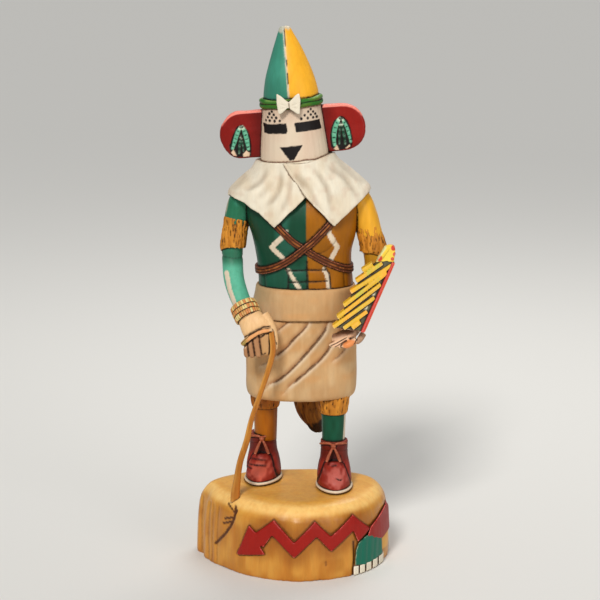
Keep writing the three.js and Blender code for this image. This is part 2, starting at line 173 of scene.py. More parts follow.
def slab(name, outline, front, back):
    # an outline seen from the front, in x and z, made solid from front to back
    piece = emptyMesh(name)
    bpy.ops.object.mode_set(mode="EDIT")
    bpy.ops.mesh.primitive_circle_add(vertices=len(outline), radius=1, fill_type="NGON",
                                      location=(0, 0, 0))
    shape = bmesh.from_edit_mesh(piece.data)
    for vert, (x, z) in zip(shape.verts, outline):
        vert.co = (x, front, z)
    bpy.ops.mesh.extrude_region_move(TRANSFORM_OT_translate={"value": (0, back - front, 0)})
    closeUp()
    return piece


def modify(piece, kind, **values):
    selectOnly(piece)
    step = piece.modifiers.new(kind.title(), kind)
    for key, value in values.items():
        setattr(step, key, value)
    bpy.ops.object.modifier_apply(modifier=step.name)
    return piece


def combine(piece, other, operation, keep=False):
    modify(piece, "BOOLEAN", operation=operation, object=other, solver="MANIFOLD")
    if not keep:
        bpy.data.objects.remove(other)
    return piece


def merge(pieces, name):
    bpy.ops.object.select_all(action="DESELECT")
    for piece in pieces:
        piece.select_set(True)
    bpy.context.view_layer.objects.active = pieces[0]
    if len(pieces) > 1:
        bpy.ops.object.join()
    whole = bpy.context.object
    whole.name = whole.data.name = name
    return whole


def soften(piece, width, steps=2):
    return modify(piece, "BEVEL", width=width, segments=steps, limit_method="ANGLE")


def evenOut(piece, kind):
    # gives the whole form one even skin, so that it can be carved and painted finely
    size, smooth = skins[kind]
    modify(piece, "REMESH", mode="VOXEL", voxel_size=size)
    return modify(piece, "SMOOTH", factor=0.5, iterations=smooth)


def ribbon(points, width):
    # the outline of a stripe of one width along a line
    line = np.array(points, float)
    across = np.gradient(line, axis=0)
    across = np.stack([-across[:, 1], across[:, 0]], 1)
    across /= np.linalg.norm(across, axis=1)[:, None]
    left = line + across * width / 2
    right = line - across * width / 2
    return [tuple(p) for p in np.vstack([left, right[::-1]])]


# Carving and painting

def surface(form, kind, colour):
    # a form under one even skin, and how that looks from the front
    skin = readSkin(evenOut(form, kind), colour)
    return skin, view(skin)


def readVectors(items, key):
    values = np.empty(len(items) * 3, np.float32)
    items.foreach_get(key, values)
    return values.reshape(-1, 3)


def readSkin(piece, colour):
    # a form's points and normals, with the lift, paint, and wash with painted shade that it is going to
    # get
    count = len(piece.data.vertices)
    return {"piece": piece, "points": readVectors(piece.data.vertices, "co").astype(float),
            "normals": readVectors(piece.data.vertex_normals, "vector").astype(float),
            "lift": np.zeros(count), "tone": np.tile(colour, (count, 1)), "washAndShade": np.zeros(count)}


def front(skin, limit=0.2):
    return np.clip((limit - skin["normals"][:, 1]) / 0.2, 0, 1)


def view(skin):
    # x and z of each point, as seen from the front
    return skin["points"][:, [0, 2]]


def wrap(skin, centre, radius):
    # the way round a post, measured on a radius, and the height
    x = skin["points"][:, 0] - centre[0]
    y = skin["points"][:, 1] - centre[1]
    return np.stack([np.arctan2(x, -y) * radius, skin["points"][:, 2]], 1)


def lineField(points, line):
    # how far each point is from a line, on which side, and how far along it
    best = np.full(len(points), 1e9)
    side, along = np.zeros(len(points)), np.zeros(len(points))
    line = np.array(line, float)
    steps = np.linalg.norm(np.diff(line, axis=0), axis=1)
    run = 0
    for start, end, step in zip(line[:-1], line[1:], steps):
        way = (end - start) / max(step, 1e-6)
        reach = np.clip((points - start) @ way, 0, step)
        off = points - start - reach[:, None] * way
        far = np.hypot(off[:, 0], off[:, 1])
        near = far < best
        best[near] = far[near]
        side[near] = (way[0] * off[near, 1] - way[1] * off[near, 0])
        along[near] = (run + reach[near]) / steps.sum()
        run += step
    return best, side, along


def ramp(values, low, high):
    t = np.clip((values - low) / (high - low), 0, 1)
    return t * t * (3 - 2 * t)


def noise(points, seed):
    # smooth random values from 0 to 1 over two coordinates
    grid = np.random.default_rng(seed).random((64, 64))
    cell = np.floor(points).astype(int)
    t = points - cell
    t = t * t * (3 - 2 * t)
    value = 0
    for i in (0, 1):
        for j in (0, 1):
            weight = (t[:, 0] if i else 1 - t[:, 0]) * (t[:, 1] if j else 1 - t[:, 1])
            value = value + weight * grid[(cell[:, 0] + i) % 64, (cell[:, 1] + j) % 64]
    return value


def cut(skin, flat, line, width, depth, washAndShade=0.9, step=0, facing=1, taper=0.0,
        ink=False):
    # a groove along a line, with one side of it left higher by the step
    line = np.array(line, float)
    low, high = line.min(0) - width * 4, line.max(0) + width * 4
    near = np.where(((flat > low) & (flat < high)).all(1))[0]
    if not len(near):
        return
    far, side, along = lineField(flat[near], line)
    weight = facing[near] if isinstance(facing, np.ndarray) else facing
    if taper:
        weight = weight * np.clip(np.minimum(along, 1 - along) / taper, 0.15, 1)
    skin["lift"][near] -= np.exp(-(far / (width * 0.6)) ** 2) * depth * weight
    if step:
        skin["lift"][near] += ramp(side, -0.3, 0.3) * np.exp(-far / (width * 1.6)) * step * weight
    # the groove is darkened with the wash, which also stands for painted shade
    dark = np.exp(-(far / (width * 0.5)) ** 2) * washAndShade * weight
    skin["washAndShade"][near] = np.maximum(skin["washAndShade"][near], dark)
    if ink:
        mask = np.zeros(len(flat))
        mask[near] = ramp(-far, -width * 0.5, -width * 0.3) * weight
        fill(skin, mask, colours["black"])


def inside(flat, outline):
    # distance inside an outline, below zero outside it
    ring = list(outline) + [outline[0]]
    far = lineField(flat, ring)[0]
    within = np.zeros(len(flat), bool)
    for (x0, z0), (x1, z1) in zip(ring[:-1], ring[1:]):
        if z0 == z1:
            continue
        crosses = (flat[:, 1] > min(z0, z1)) & (flat[:, 1] <= max(z0, z1))
        within ^= crosses & (flat[:, 0] < x0 + (flat[:, 1] - z0) * (x1 - x0) / (z1 - z0))
    return np.where(within, far, -far)


def darken(skin, mask):
    skin["washAndShade"] = np.maximum(skin["washAndShade"], mask)


def fill(skin, mask, colour):
    mask = np.clip(mask, 0, 1)[:, None]
    skin["tone"] = skin["tone"] * (1 - mask) + colour * mask


def brushLine(skin, flat, line, width, colour, facing=1, ragged=0.0, seed=3):
    line = np.array(line, float)
    low, high = line.min(0) - width * 2, line.max(0) + width * 2
    near = np.where(((flat > low) & (flat < high)).all(1))[0]
    far = lineField(flat[near], line)[0]
    if ragged:
        far = far + (noise(flat[near] * 1.3, seed) - 0.5) * ragged
    mask = np.zeros(len(flat))
    mask[near] = ramp(-far, -width / 2 - 0.15, -width / 2 + 0.15)
    fill(skin, mask * facing, colour)


def finish(skin, look, slot="painted_wood", node="figure"):
    # carves the lifts in, writes the paint into attributes and hands the piece over
    piece = skin["piece"]
    points = skin["points"] + skin["normals"] * skin["lift"][:, None]
    piece.data.vertices.foreach_set("co", (points * mm).ravel())
    tone = piece.data.attributes.new("tone", "FLOAT_COLOR", "POINT")
    tone.data.foreach_set("color", np.column_stack([skin["tone"], np.ones(len(points))]).ravel())
    washAndShade = piece.data.attributes.new("washAndShade", "FLOAT", "POINT")
    washAndShade.data.foreach_set("value", skin["washAndShade"])
    piece.data.update()
    piece.data.materials.clear()
    piece.data.materials.append(finishes[look])
    selectOnly(piece)
    bpy.ops.object.shade_smooth()
    made[piece.name] = {"piece": piece, "slot": slot, "node": node}
    print("made", piece.name, len(piece.data.polygons))


# Finishes

class Nodes:
    # adds nodes to a tree and wires them up
    def __init__(self, tree):
        self.tree = tree

    def add(self, kind, inputs=None, **settings):
        node = self.tree.nodes.new("ShaderNode" + kind)
        for key, value in settings.items():
            setattr(node, key, value)
        for key, value in (inputs or {}).items():
            if isinstance(value, bpy.types.NodeSocket):
                self.tree.links.new(value, node.inputs[key])
            else:
                node.inputs[key].default_value = value
        return node

    def sum(self, kind, a, b, clamp=False):
        return self.add("Math", {0: a, 1: b}, operation=kind, use_clamp=clamp).outputs[0]

    def span(self, value, low, high, to=(0, 1)):
        return self.add("MapRange", {0: value, 1: low, 2: high, 3: to[0], 4: to[1]},
                        interpolation_type="SMOOTHSTEP").outputs[0]

    def mixed(self, amount, a, b, kind="MIX"):
        return self.add("Mix", {0: amount, 6: a, 7: b}, data_type="RGBA", blend_type=kind).outputs[2]

    def group(self, tree, inputs):
        return self.add("Group", inputs, node_tree=tree).outputs


def nodeGroup(name, inputs, outputs, build):
    tree = bpy.data.node_groups.new(name, "ShaderNodeTree")
    kinds = {"c": "NodeSocketColor", "f": "NodeSocketFloat", "v": "NodeSocketVector"}
    for label, kind, value in inputs:
        socket = tree.interface.new_socket(label, in_out="INPUT", socket_type=kinds[kind])
        socket.default_value = value
    for label, kind in outputs:
        tree.interface.new_socket(label, in_out="OUTPUT", socket_type=kinds[kind])
    into = tree.nodes.new("NodeGroupInput")
    out = tree.nodes.new("NodeGroupOutput")
    for label, socket in build(Nodes(tree), into.outputs).items():
        tree.links.new(socket, out.inputs[label])
    return tree


def brushworkNodes(nodes, given):
    # long faint strokes and blotches of thin paint
    place = nodes.add("TexCoord").outputs["Object"]
    drawn = nodes.add("VectorMath", {0: place, 1: given["Stretch"]}, operation="MULTIPLY").outputs[0]
    strokes = nodes.add("TexNoise", {"Vector": drawn, "Scale": given["Scale"], "Detail": 5.0,
                                     "Roughness": 0.6}).outputs[0]
    blotches = nodes.add("TexNoise", {"Vector": place, "Scale": 90.0, "Detail": 3.0}).outputs[0]
    both = nodes.sum("ADD", nodes.sum("MULTIPLY", strokes, 0.6), nodes.sum("MULTIPLY", blotches, 0.4))
    centred = nodes.sum("SUBTRACT", both, 0.5)
    tone = nodes.sum("ADD", nodes.sum("MULTIPLY", centred, given["Amount"]), 1.0)
    return {"Tone": tone, "Height": strokes, "Blotches": blotches}


def agedNodes(nodes, given):
    # paint worn pale on the arrises, and in the creases a dark wash that also carries painted shade
    place = nodes.add("TexCoord").outputs["Object"]
    washAndShade = nodes.add("Attribute", attribute_name="washAndShade").outputs["Fac"]
    edge = nodes.add("Attribute", attribute_name="edge").outputs["Fac"]
    patchy = nodes.add("TexNoise", {"Vector": place, "Scale": given["Breakup"], "Detail": 4.0,
                                    "Roughness": 0.7}).outputs[0]
    uneven = nodes.span(patchy, 0.3, 0.7)
    worn = nodes.sum("MULTIPLY", edge, nodes.sum("ADD", uneven, 0.25))
    worn = nodes.sum("MULTIPLY", nodes.span(worn, 0.15, 0.75), given["Wear"])
    dark = nodes.sum("MULTIPLY", washAndShade, nodes.sum("ADD", nodes.sum("MULTIPLY", uneven, 0.6), 0.7))
    dark = nodes.sum("MULTIPLY", nodes.span(dark, 0.08, 0.95), given["Wash"])
    pale = nodes.mixed(worn, given["Color"], given["Wear color"])
    return {"Color": nodes.mixed(dark, pale, given["Wash color"]), "Worn": worn, "Dark": dark}


def grainNodes(nodes, given):
    # the growth rings of the wood, drawn out along the stem
    place = nodes.add("TexCoord").outputs["Object"]
    bend = nodes.add("TexNoise", {"Vector": place, "Scale": 25.0, "Detail": 2.0}).outputs[1]
    bent = nodes.add("VectorMath", {0: bend, 1: (0.006, 0.006, 0.006)}, operation="MULTIPLY").outputs[0]
    moved = nodes.add("VectorMath", {0: place, 1: bent}, operation="ADD").outputs[0]
    drawn = nodes.add("VectorMath", {0: moved, 1: given["Stretch"]}, operation="MULTIPLY").outputs[0]
    lines = nodes.add("TexNoise", {"Vector": drawn, "Scale": given["Scale"], "Detail": 6.0,
                                   "Roughness": 0.65}).outputs[0]
    return {"Lines": nodes.span(lines, 0.34, 0.66), "Height": lines}


brushwork = nodeGroup("brushwork", [("Scale", "f", 600.0), ("Stretch", "v", (1, 1, 0.15)),
                                    ("Amount", "f", 0.4)],
                      [("Tone", "f"), ("Height", "f"), ("Blotches", "f")], brushworkNodes)
agedPaint = nodeGroup("agedPaint", [("Color", "c", (1, 1, 1, 1)), ("Wear color", "c", (1, 1, 1, 1)),
                                    ("Wash color", "c", (0, 0, 0, 1)), ("Wear", "f", 0.5),
                                    ("Wash", "f", 1.0), ("Breakup", "f", 500.0)],
                      [("Color", "c"), ("Worn", "f"), ("Dark", "f")], agedNodes)
woodGrain = nodeGroup("woodGrain", [("Scale", "f", 400.0), ("Stretch", "v", (1, 1, 0.06))],
                      [("Lines", "f"), ("Height", "f")], grainNodes)


def rgba(colour):
    return (*[float(c) for c in colour], 1.0)


def finishMaterial(name, look):
    material = bpy.data.materials.new(name)
    material.use_nodes = True
    nodes = Nodes(material.node_tree)
    shader = material.node_tree.nodes["Principled BSDF"]
    link = material.node_tree.links.new

    tone = nodes.add("Attribute", attribute_name="tone").outputs["Color"]
    brush = nodes.group(brushwork, {"Scale": look["strokes"], "Stretch": look["stretch"],
                                    "Amount": look["mottle"]})
    grain = nodes.group(woodGrain, {"Scale": look["grain"], "Stretch": look["grainStretch"]})
    lit = nodes.add("VectorMath", {0: tone, "Scale": brush["Tone"]}, operation="SCALE").outputs[0]
    grained = nodes.mixed(nodes.sum("MULTIPLY", grain["Lines"], look["grainShow"]), lit,
                          nodes.mixed(1.0, lit, rgba(look["grainColour"]), "MULTIPLY"))
    aged = nodes.group(agedPaint, {"Color": grained, "Wear color": rgba(look["wearColour"]),
                                   "Wash color": rgba(look["washColour"]), "Wear": look["wear"],
                                   "Wash": look["wash"], "Breakup": look["breakup"]})
    link(aged["Color"], shader.inputs["Base Color"])
    dull = nodes.sum("MULTIPLY", nodes.sum("SUBTRACT", brush["Blotches"], 0.5), 0.35)
    dull = nodes.sum("ADD", dull, look["roughness"])
    dull = nodes.sum("ADD", dull, nodes.sum("MULTIPLY", aged["Dark"], 0.2), clamp=True)
    link(dull, shader.inputs["Roughness"])
    height = nodes.sum("ADD", nodes.sum("MULTIPLY", brush["Height"], 0.5),
                       nodes.sum("MULTIPLY", grain["Height"], 0.5))
    bump = nodes.add("Bump", {"Strength": look["bump"], "Distance": 0.0006, "Height": height})
    link(bump.outputs[0], shader.inputs["Normal"])
    shader.inputs["Specular IOR Level"].default_value = look["shine"]
    shader.inputs["Coat Weight"].default_value = look["coat"]
    shader.inputs["Coat Roughness"].default_value = 0.3
    return material


# wash and washColour set the strength and colour of the crease wash with its painted shade
plainLook = {
    "strokes": 500.0, "stretch": (1, 1, 0.2), "mottle": 0.35, "grain": 450.0,
    "grainStretch": (1, 1, 0.05), "grainShow": 0.12, "grainColour": paint(214, 176, 130),
    "wearColour": paint(236, 214, 176), "washColour": paint(44, 22, 10), "wear": 0.5, "wash": 0.95,
    "breakup": 700.0, "roughness": 0.46, "bump": 0.35, "coat": 0.0, "shine": 0.22,
}
looks = {
    "rootWood": {"grain": 260.0, "grainStretch": (1, 1, 0.1), "grainShow": 0.32, "mottle": 0.4,
                 "grainColour": paint(232, 186, 120), "roughness": 0.36, "coat": 0.15, "wear": 0.45,
                 "wearColour": paint(255, 226, 160), "wash": 0.8, "washColour": paint(96, 50, 14)},
    "satinPaint": {"roughness": 0.42, "wear": 0.3, "mottle": 0.5, "washColour": paint(20, 10, 5)},
    "clothPaint": {"roughness": 0.55, "grainShow": 0.1, "wash": 0.85, "mottle": 0.35,
                   "washColour": paint(92, 60, 34), "wearColour": paint(250, 238, 214),
                   "wear": 0.5, "stretch": (1, 1, 0.3)},
    "maskPaint": {"roughness": 0.5, "mottle": 0.16, "grainShow": 0.08, "wear": 0.2,
                  "washColour": paint(110, 70, 44)},
    "redPaint": {"roughness": 0.42, "wear": 0.7, "wearColour": paint(244, 122, 108), "mottle": 0.45,
                 "washColour": paint(36, 6, 4)},
    "leatherPaint": {"roughness": 0.5, "wear": 0.6, "wearColour": paint(206, 128, 100),
                     "washColour": paint(24, 8, 4), "mottle": 0.6},
    "furPaint": {"roughness": 0.55, "wear": 0.6, "wearColour": paint(236, 176, 92), "mottle": 0.7,
                 "strokes": 900.0, "stretch": (1, 1, 0.12), "washColour": paint(40, 18, 5)},
    "skinPaint": {"roughness": 0.45, "wear": 0.5, "mottle": 0.3, "grainShow": 0.25},
    "whipStain": {"roughness": 0.4, "coat": 0.1, "grainShow": 0.4, "mottle": 0.5},
    "slatPaint": {"roughness": 0.45, "wear": 0.4, "mottle": 0.6, "strokes": 300.0,
                  "stretch": (1, 1, 1)},
}
finishes = {name: finishMaterial(name, {**plainLook, **look}) for name, look in looks.items()}
print("finishes ready")


# Plinth: a slice of root with a soft rim and a painted relief

plinth = {
    "outline": [(-1, -45), (17, -42), (33, -34), (44, -21), (51, -5), (54, 10), (51, 25), (39, 38),
                (15, 45), (-12, 45), (-33, 38.5), (-48, 29), (-56.5, 17), (-57.3, 8), (-53.5, 2.5),
                (-53, -4), (-44, -18), (-26, -35.5)],
    "profile": [(0, 0.3), (1, 0), (16, 0.5), (30, 1.5), (36.5, 3.5), (40.8, 7.2), (42.3, 12.5)],
    "relief": 1.3, "sunk": 1.2,
    "lightning": [(-21.5, 21.3), (-12.9, 30.3), (-1.1, 18.3), (11, 30.2), (19.6, 20.8), (32, 30.8),
                  (38.4, 21.9)],
    "lightningWidth": 8.6,
    "arrowHead": [(-26.5, 29.5), (-33.7, 11.1), (-17.4, 14.5), (-20, 18.2), (-19, 23)],
    "plume": [(40.6, 21), (42.2, 25), (51.5, 31.5), (53.5, 28), (54, 16), (49.4, 14.5)],
    "cloud": [(33.3, 6.4), (33.7, 14.5), (35.2, 18.6), (38.4, 20.7), (42.5, 21.6), (46.6, 20),
              (48.9, 16.4), (49.4, 6), (45, 4.9), (39, 4.7)],
    "rain": {"count": 5, "left": 32.4, "right": 51, "top": 5.6, "bottom": 0.5, "space": 0.8},
    "branch": [(-34.2, 37), (-35.2, 31), (-37.6, 25.5), (-41.5, 19), (-46.5, 12.3)],
    "twigs": [[(-35.6, 34.5), (-38.4, 37.2)], [(-36, 31), (-40.4, 29.2)], [(-36.8, 28.6), (-41.4, 26)],
              [(-34.9, 33), (-33.3, 35.4)]],
    # upright cracks on the near side: where and how deep
    "cracks": [(-50.8, 0.8), (-48.6, 0.5), (-55.2, 0.7), (-45.6, 0.35)],
    "cloudLine": [(32.4, 20), (32.8, 10), (32, 0.5)], "nick": [(16.6, 10.8), (17, 8.8)],
    "cloudRidges": (37, 40.6, 44.2, 47),
}


def closedCurve(points, steps):
    points = [*points[-1:], *points, *points[:2]]
    return smoothSteps(points, steps)[steps:-steps - 1]


def plinthForm(name, grow=0.0):
    rim = closedCurve(plinth["outline"], 4)
    along = np.roll(rim, -1, 0) - np.roll(rim, 1, 0)
    out = np.stack([along[:, 1], -along[:, 0]], 1) / np.linalg.norm(along, axis=1)[:, None]
    piece = emptyMesh(name)
    bpy.ops.object.mode_set(mode="EDIT")
    profile = smoothSteps(plinth["profile"], 2)
    for level, (height, inset) in enumerate(profile):
        ring = rim + out * (grow - inset)
        for again in range(int(inset * 1.5)):
            ring = (np.roll(ring, -1, 0) + ring * 2 + np.roll(ring, 1, 0)) / 4
        bpy.ops.mesh.primitive_circle_add(vertices=len(rim), radius=1, location=(0, 0, height))
        shape = bmesh.from_edit_mesh(piece.data)
        shape.verts.ensure_lookup_table()
        for vert, (x, y) in zip(shape.verts[level * len(rim):], ring):
            vert.co = (x, y, height)
        bmesh.update_edit_mesh(piece.data)
    bridgeRings(piece, len(profile), len(rim))
    return piece


def onWall(name, outline, outer, inner):
    # a shape cut out of the skin between two plinth forms, standing proud of the wall
    piece = slab(name, outline, -60, 9)
    combine(piece, outer, "INTERSECT", keep=True)
    combine(piece, inner, "DIFFERENCE", keep=True)
    return evenOut(piece, "relief")


def makePlinth():
    piece = evenOut(plinthForm("rootPlinth"), "root")
    skin = readSkin(piece, colours["honey"])
    points, normals = skin["points"], skin["normals"]
    facing = front(skin, 0.1)
    flat = view(skin)
    around = np.arctan2(points[:, 1], points[:, 0])
    wall = ramp(-normals[:, 2], -0.75, -0.3)
    # knife facets down the wall, and a top that isn't quite flat
    facets = noise(np.stack([around * 7 + 9, points[:, 2] * 0.05], 1), 11) - 0.5
    chatter = noise(np.stack([around * 31 + 30, points[:, 2] * 0.09], 1), 12) - 0.5
    skin["lift"] += wall * (facets * 0.9 + chatter * 0.15)
    skin["lift"] += (1 - wall) * (noise(points[:, :2] * 0.09 + 20, 13) - 0.5) * 0.5
    for x, depth in plinth["cracks"]:
        cut(skin, flat, [(x, 1), (x + 0.4, 20), (x + 1.2, 34)], 1.6, depth, 0.45, facing=facing)
    # colour: darker down the wall and round the relief, with a painted highlight along the front of the
    # rim
    blot = noise(np.stack([around * 9 + 3, points[:, 2] * 0.12], 1), 14)
    fill(skin, wall * (0.5 + 0.4 * ramp(blot, 0.4, 0.9)), paint(180, 114, 34))
    zigzag = plinth["lightning"]
    far = lineField(flat, zigzag)[0]
    fill(skin, facing * wall * 0.75 * ramp(-far, -14, -5), paint(150, 86, 22))
    # painted highlight: a pale band on the front of the rim
    fill(skin, 0.65 * ramp(points[:, 2], 35, 38.5) * ramp(-points[:, 2], -42.2, -40.6) * facing,
         paint(250, 208, 130))
    fill(skin, 0.3 * ramp(-points[:, 2], -3, 0), colours["amber"])
    # the relief stands in a dark line, strongest over its upper edges
    line = ribbon(zigzag, plinth["lightningWidth"] + 0.5)
    half = len(zigzag)
    edges = [(line[:half], 1.0), (line[half:], 0.45), (plinth["plume"], 0.9),
             (plinth["arrowHead"], 0.75), (plinth["cloud"], 0.7)]
    for path, strength in edges:
        cut(skin, flat, path, 1.3, 0.5 * strength, strength, facing=facing)
    cut(skin, flat, plinth["cloudLine"], 1.3, 0.6, 1.0, facing=facing, ink=True)
    # a burnt branching stroke below the whip, and a nick
    cut(skin, flat, plinth["branch"], 1.4, 0.7, 1.0, facing=facing, ink=True)
    for twig in plinth["twigs"]:
        cut(skin, flat, twig, 1.1, 0.5, 1.0, facing=facing, ink=True)
    cut(skin, flat, plinth["nick"], 1.3, 0.5, 0.9, facing=facing)
    patch = np.minimum(flat[:, 0] - 49.8, np.minimum(flat[:, 1] - 6.5, 19 - flat[:, 1]))
    fill(skin, ramp(patch, -0.2, 0.2) * facing * 0.95, colours["ochre"])
    # painted shade on the top, behind and between the boots
    shadeBehindBoots = np.hypot((points[:, 0] + 1) / 10, (points[:, 1] - 22) / 8)
    fill(skin, 0.15 * ramp(-shadeBehindBoots, -1.3, -0.2) * (1 - wall), colours["brown"])
    finish(skin, "rootWood", "root_wood", "plinth")


def makeRelief():
    zigzag = plinth["lightning"]
    outer = plinthForm("outer", plinth["relief"])
    inner = plinthForm("inner", -plinth["sunk"])
    red = merge([onWall("zigzag", ribbon(zigzag, plinth["lightningWidth"]), outer, inner),
                 onWall("arrow", plinth["arrowHead"], outer, inner)], "lightning")
    evenOut(red, "lightning")
    skin = readSkin(red, colours["red"])
    finish(skin, "redPaint", "red_paint", "plinth")
    skin = readSkin(onWall("plumeRelief", plinth["plume"], outer, inner), colours["red"])
    finish(skin, "redPaint", "red_paint", "plinth")
    skin = readSkin(onWall("cloudRelief", plinth["cloud"], outer, inner), paint(18, 104, 82))
    flat = view(skin)
    for x in plinth["cloudRidges"]:
        cut(skin, flat, [(x, 5), (x + 0.3, 14), (x + 0.8, 21)], 1.4, 0.25, 0.15)
    finish(skin, "satinPaint", "painted_wood", "plinth")
    rain = plinth["rain"]
    pitch = (rain["right"] - rain["left"]) / rain["count"]
    drops = []
    for i in range(rain["count"]):
        left = rain["left"] + i * pitch
        right = left + pitch - rain["space"]
        drops.append(onWall("drop", [(left, rain["bottom"]), (right, rain["bottom"]),
                                     (right, rain["top"]), (left, rain["top"])], outer, inner))
    skin = readSkin(merge(drops, "rainDrops"), colours["white"])
    finish(skin, "clothPaint", "cream_paint", "plinth")
    bpy.data.objects.remove(outer)
    bpy.data.objects.remove(inner)


makePlinth()
makeRelief()


# Head: mask, cap and twisted band, made upright and then leaned

head = {
    "mask": [(0, 0, -8, 18.6, 17.4), (0, 0, 1, 19.4, 18), (0.1, 0, 14, 18.2, 17),
             (0.3, 0, 24, 17.2, 16.2), (0.4, 0, 30, 16.4, 15.6), (0.4, 0, 33, 15.8, 15)],
    "cap": [(0.4, 0, 32, 15.2, 14.6), (0.6, 0, 36, 15.4, 14.8), (0.6, 0, 44.8, 13.7, 13.2),
            (0.6, 0, 52, 11.4, 11), (0.5, 0, 61.5, 7.9, 7.6), (0.1, 0, 70, 4.2, 4),
            (0, 0, 72.6, 3.1, 3), (0, 0, 73.5, 1.8, 1.7)],
    "eyes": [[(-16, 21.6), (-12.6, 21.2), (-3, 21.5), (-2.7, 17.2), (-3.2, 15.9), (-13.6, 15.8),
              (-15.8, 16.1)],
             [(1.4, 21.3), (7.7, 21.7), (15.6, 21.6), (16.3, 16), (9, 16.3), (2, 16.2)]],
    "mouth": [(-7.9, 8.6), (5.1, 8.9), (-0.5, 1), (-2.8, 1)],
    "dots": [[(-10.6, 28.1), (-12, 26.9), (-9.6, 26.4), (-13, 25), (-10.8, 24.8), (-8.4, 24.7),
              (-14.2, 23.2), (-12.1, 23.1), (-9.4, 22.9), (-6.5, 23)],
             [(11, 27.9), (9.5, 26.8), (12.2, 26.4), (7.4, 25.1), (10.8, 24.9), (13.3, 25),
              (5.4, 23.3), (9, 23.3), (12, 23.2), (14, 23.2)]],
    "dotSize": 0.66, "seam": -0.6,
    # the two cords of the brow band: height, how thick, and how far they wave
    "cords": [(30.8, 1.42, 0), (33.2, 1.36, math.pi)], "wave": 0.28, "brow": 16.5, "browX": 0.4,
}


def makeMask():
    piece = loft("mask", head["mask"], sides=32, steps=4)
    skin, flat = surface(piece, "mask", colours["cream"])
    facing = front(skin, -0.05)
    low = noise(flat * 0.12, 22)
    fill(skin, 0.3 * low, colours["pink"])
    upper = ramp(flat[:, 1], 20, 30) * (0.4 + 0.6 * noise(flat * 0.2 + 9, 29))
    fill(skin, upper * 0.4, paint(176, 140, 116))
    for outline in head["eyes"] + [head["mouth"]]:
        depth = inside(flat, outline) + (noise(flat * 0.9 + 40, 21) - 0.5) * 0.3
        mask = ramp(depth, -0.14, 0.14) * facing
        fill(skin, mask, colours["black"])
        skin["lift"] -= mask * 0.12
    for side in head["dots"]:
        for x, z in side:
            far = np.hypot(flat[:, 0] - x, (flat[:, 1] - z) * 0.85)
            size = head["dotSize"] * random.uniform(0.85, 1.15)
            fill(skin, ramp(-far, -size - 0.12, -size + 0.12) * facing, colours["black"])
    lean(skin)
    finish(skin, "maskPaint", "cream_paint")


def makeCap():
    piece = loft("cap", head["cap"], sides=32, steps=4)
    skin, flat = surface(piece, "cap", colours["teal"])
    seam = head["seam"] + (noise(flat * 0.6 + 9, 23) - 0.5) * 0.3
    yellow = ramp(flat[:, 0] - seam, -0.12, 0.12)
    fill(skin, yellow, colours["yellow"])
    shade = noise(np.stack([flat[:, 0] * 0.2 + 20, flat[:, 1] * 0.08], 1), 24)
    fill(skin, 0.35 * shade * (1 - yellow), colours["deepTeal"])
    near = np.abs(flat[:, 0] - seam)
    broken = noise(np.stack([flat[:, 1] * 0.35, flat[:, 1] * 0], 1), 25)
    back = (skin["normals"][:, 1] > 0) * 1.0
    fill(skin, ramp(-near, -0.55, -0.25) * (0.55 + 0.4 * broken), colours["cream"])
    dashes = ramp(noise(np.stack([flat[:, 1] * 0.22 + 5, flat[:, 1] * 0], 1), 26), 0.42, 0.5)
    right = np.abs(flat[:, 0] - seam - 0.35)
    fill(skin, ramp(-right, -0.5, -0.2) * dashes * (1 - back * 0.5), colours["black"])
    skin["lift"] -= ramp(-near, -0.6, 0) * 0.25
    tip = ramp(flat[:, 1] + (noise(flat * 0.5, 27) - 0.5) * 3, 70.6, 72.2)
    fill(skin, tip * 0.85, paint(206, 200, 178))
    lean(skin)
    finish(skin, "satinPaint")


def makeBrowBand():
    # two cords wound side by side round the brow, painted green
    strands = []
    for height, thick, turn in head["cords"]:
        bpy.ops.object.select_all(action="DESELECT")
        bpy.ops.mesh.primitive_torus_add(major_segments=96, minor_segments=14,
                                         major_radius=head["brow"], minor_radius=thick,
                                         location=(head["browX"], 0, height))
        strand = bpy.context.object
        bpy.ops.object.transform_apply(location=True)
        for vert in strand.data.vertices:
            angle = math.atan2(vert.co.y, vert.co.x - head["browX"])
            vert.co.z += head["wave"] * math.sin(angle * 5 + turn)
            vert.co.y *= 0.97
        strands.append(strand)
    piece = evenOut(merge(strands, "browBand"), "brow")
    skin = readSkin(piece, colours["green"])
    angle = np.arctan2(skin["points"][:, 1], skin["points"][:, 0] - head["browX"])
    height = skin["points"][:, 2]
    run = np.stack([angle * head["brow"] + 60, height], 1)
    fill(skin, ramp(noise(run * np.array([0.12, 0.9]), 28), 0.35, 0.8) * 0.6, colours["olive"])
    # painted highlight along the top of the upper cord
    upper = ramp(height, 33, 34.2)
    fill(skin, upper * ramp(noise(run * np.array([0.2, 0.6]) + 9, 30), 0.35, 0.7) * 0.7,
         paint(150, 186, 96))
    middle = 32 + head["wave"] * np.sin(angle * 5)
    darken(skin, ramp(-np.abs(height - middle), -0.6, 0) * 0.95)
    for level in (30.6, 33.4):
        ridge = np.abs(height - level - 0.4 * np.sin(angle * 3 + level))
        darken(skin, ramp(-ridge, -0.2, 0) * 0.35)
    lean(skin)
    finish(skin, "satinPaint")


def lean(skin):
    # takes a part of the head from its own upright place to where it leans
    turn = np.array(headPlace.to_3x3())
    skin["points"] = skin["points"] @ turn.T + np.array(headPlace.translation)
    skin["normals"] = skin["normals"] @ turn.T


makeMask()
makeCap()
makeBrowBand()


# Ears: round-ended plates with four carved leaves each, and the bow

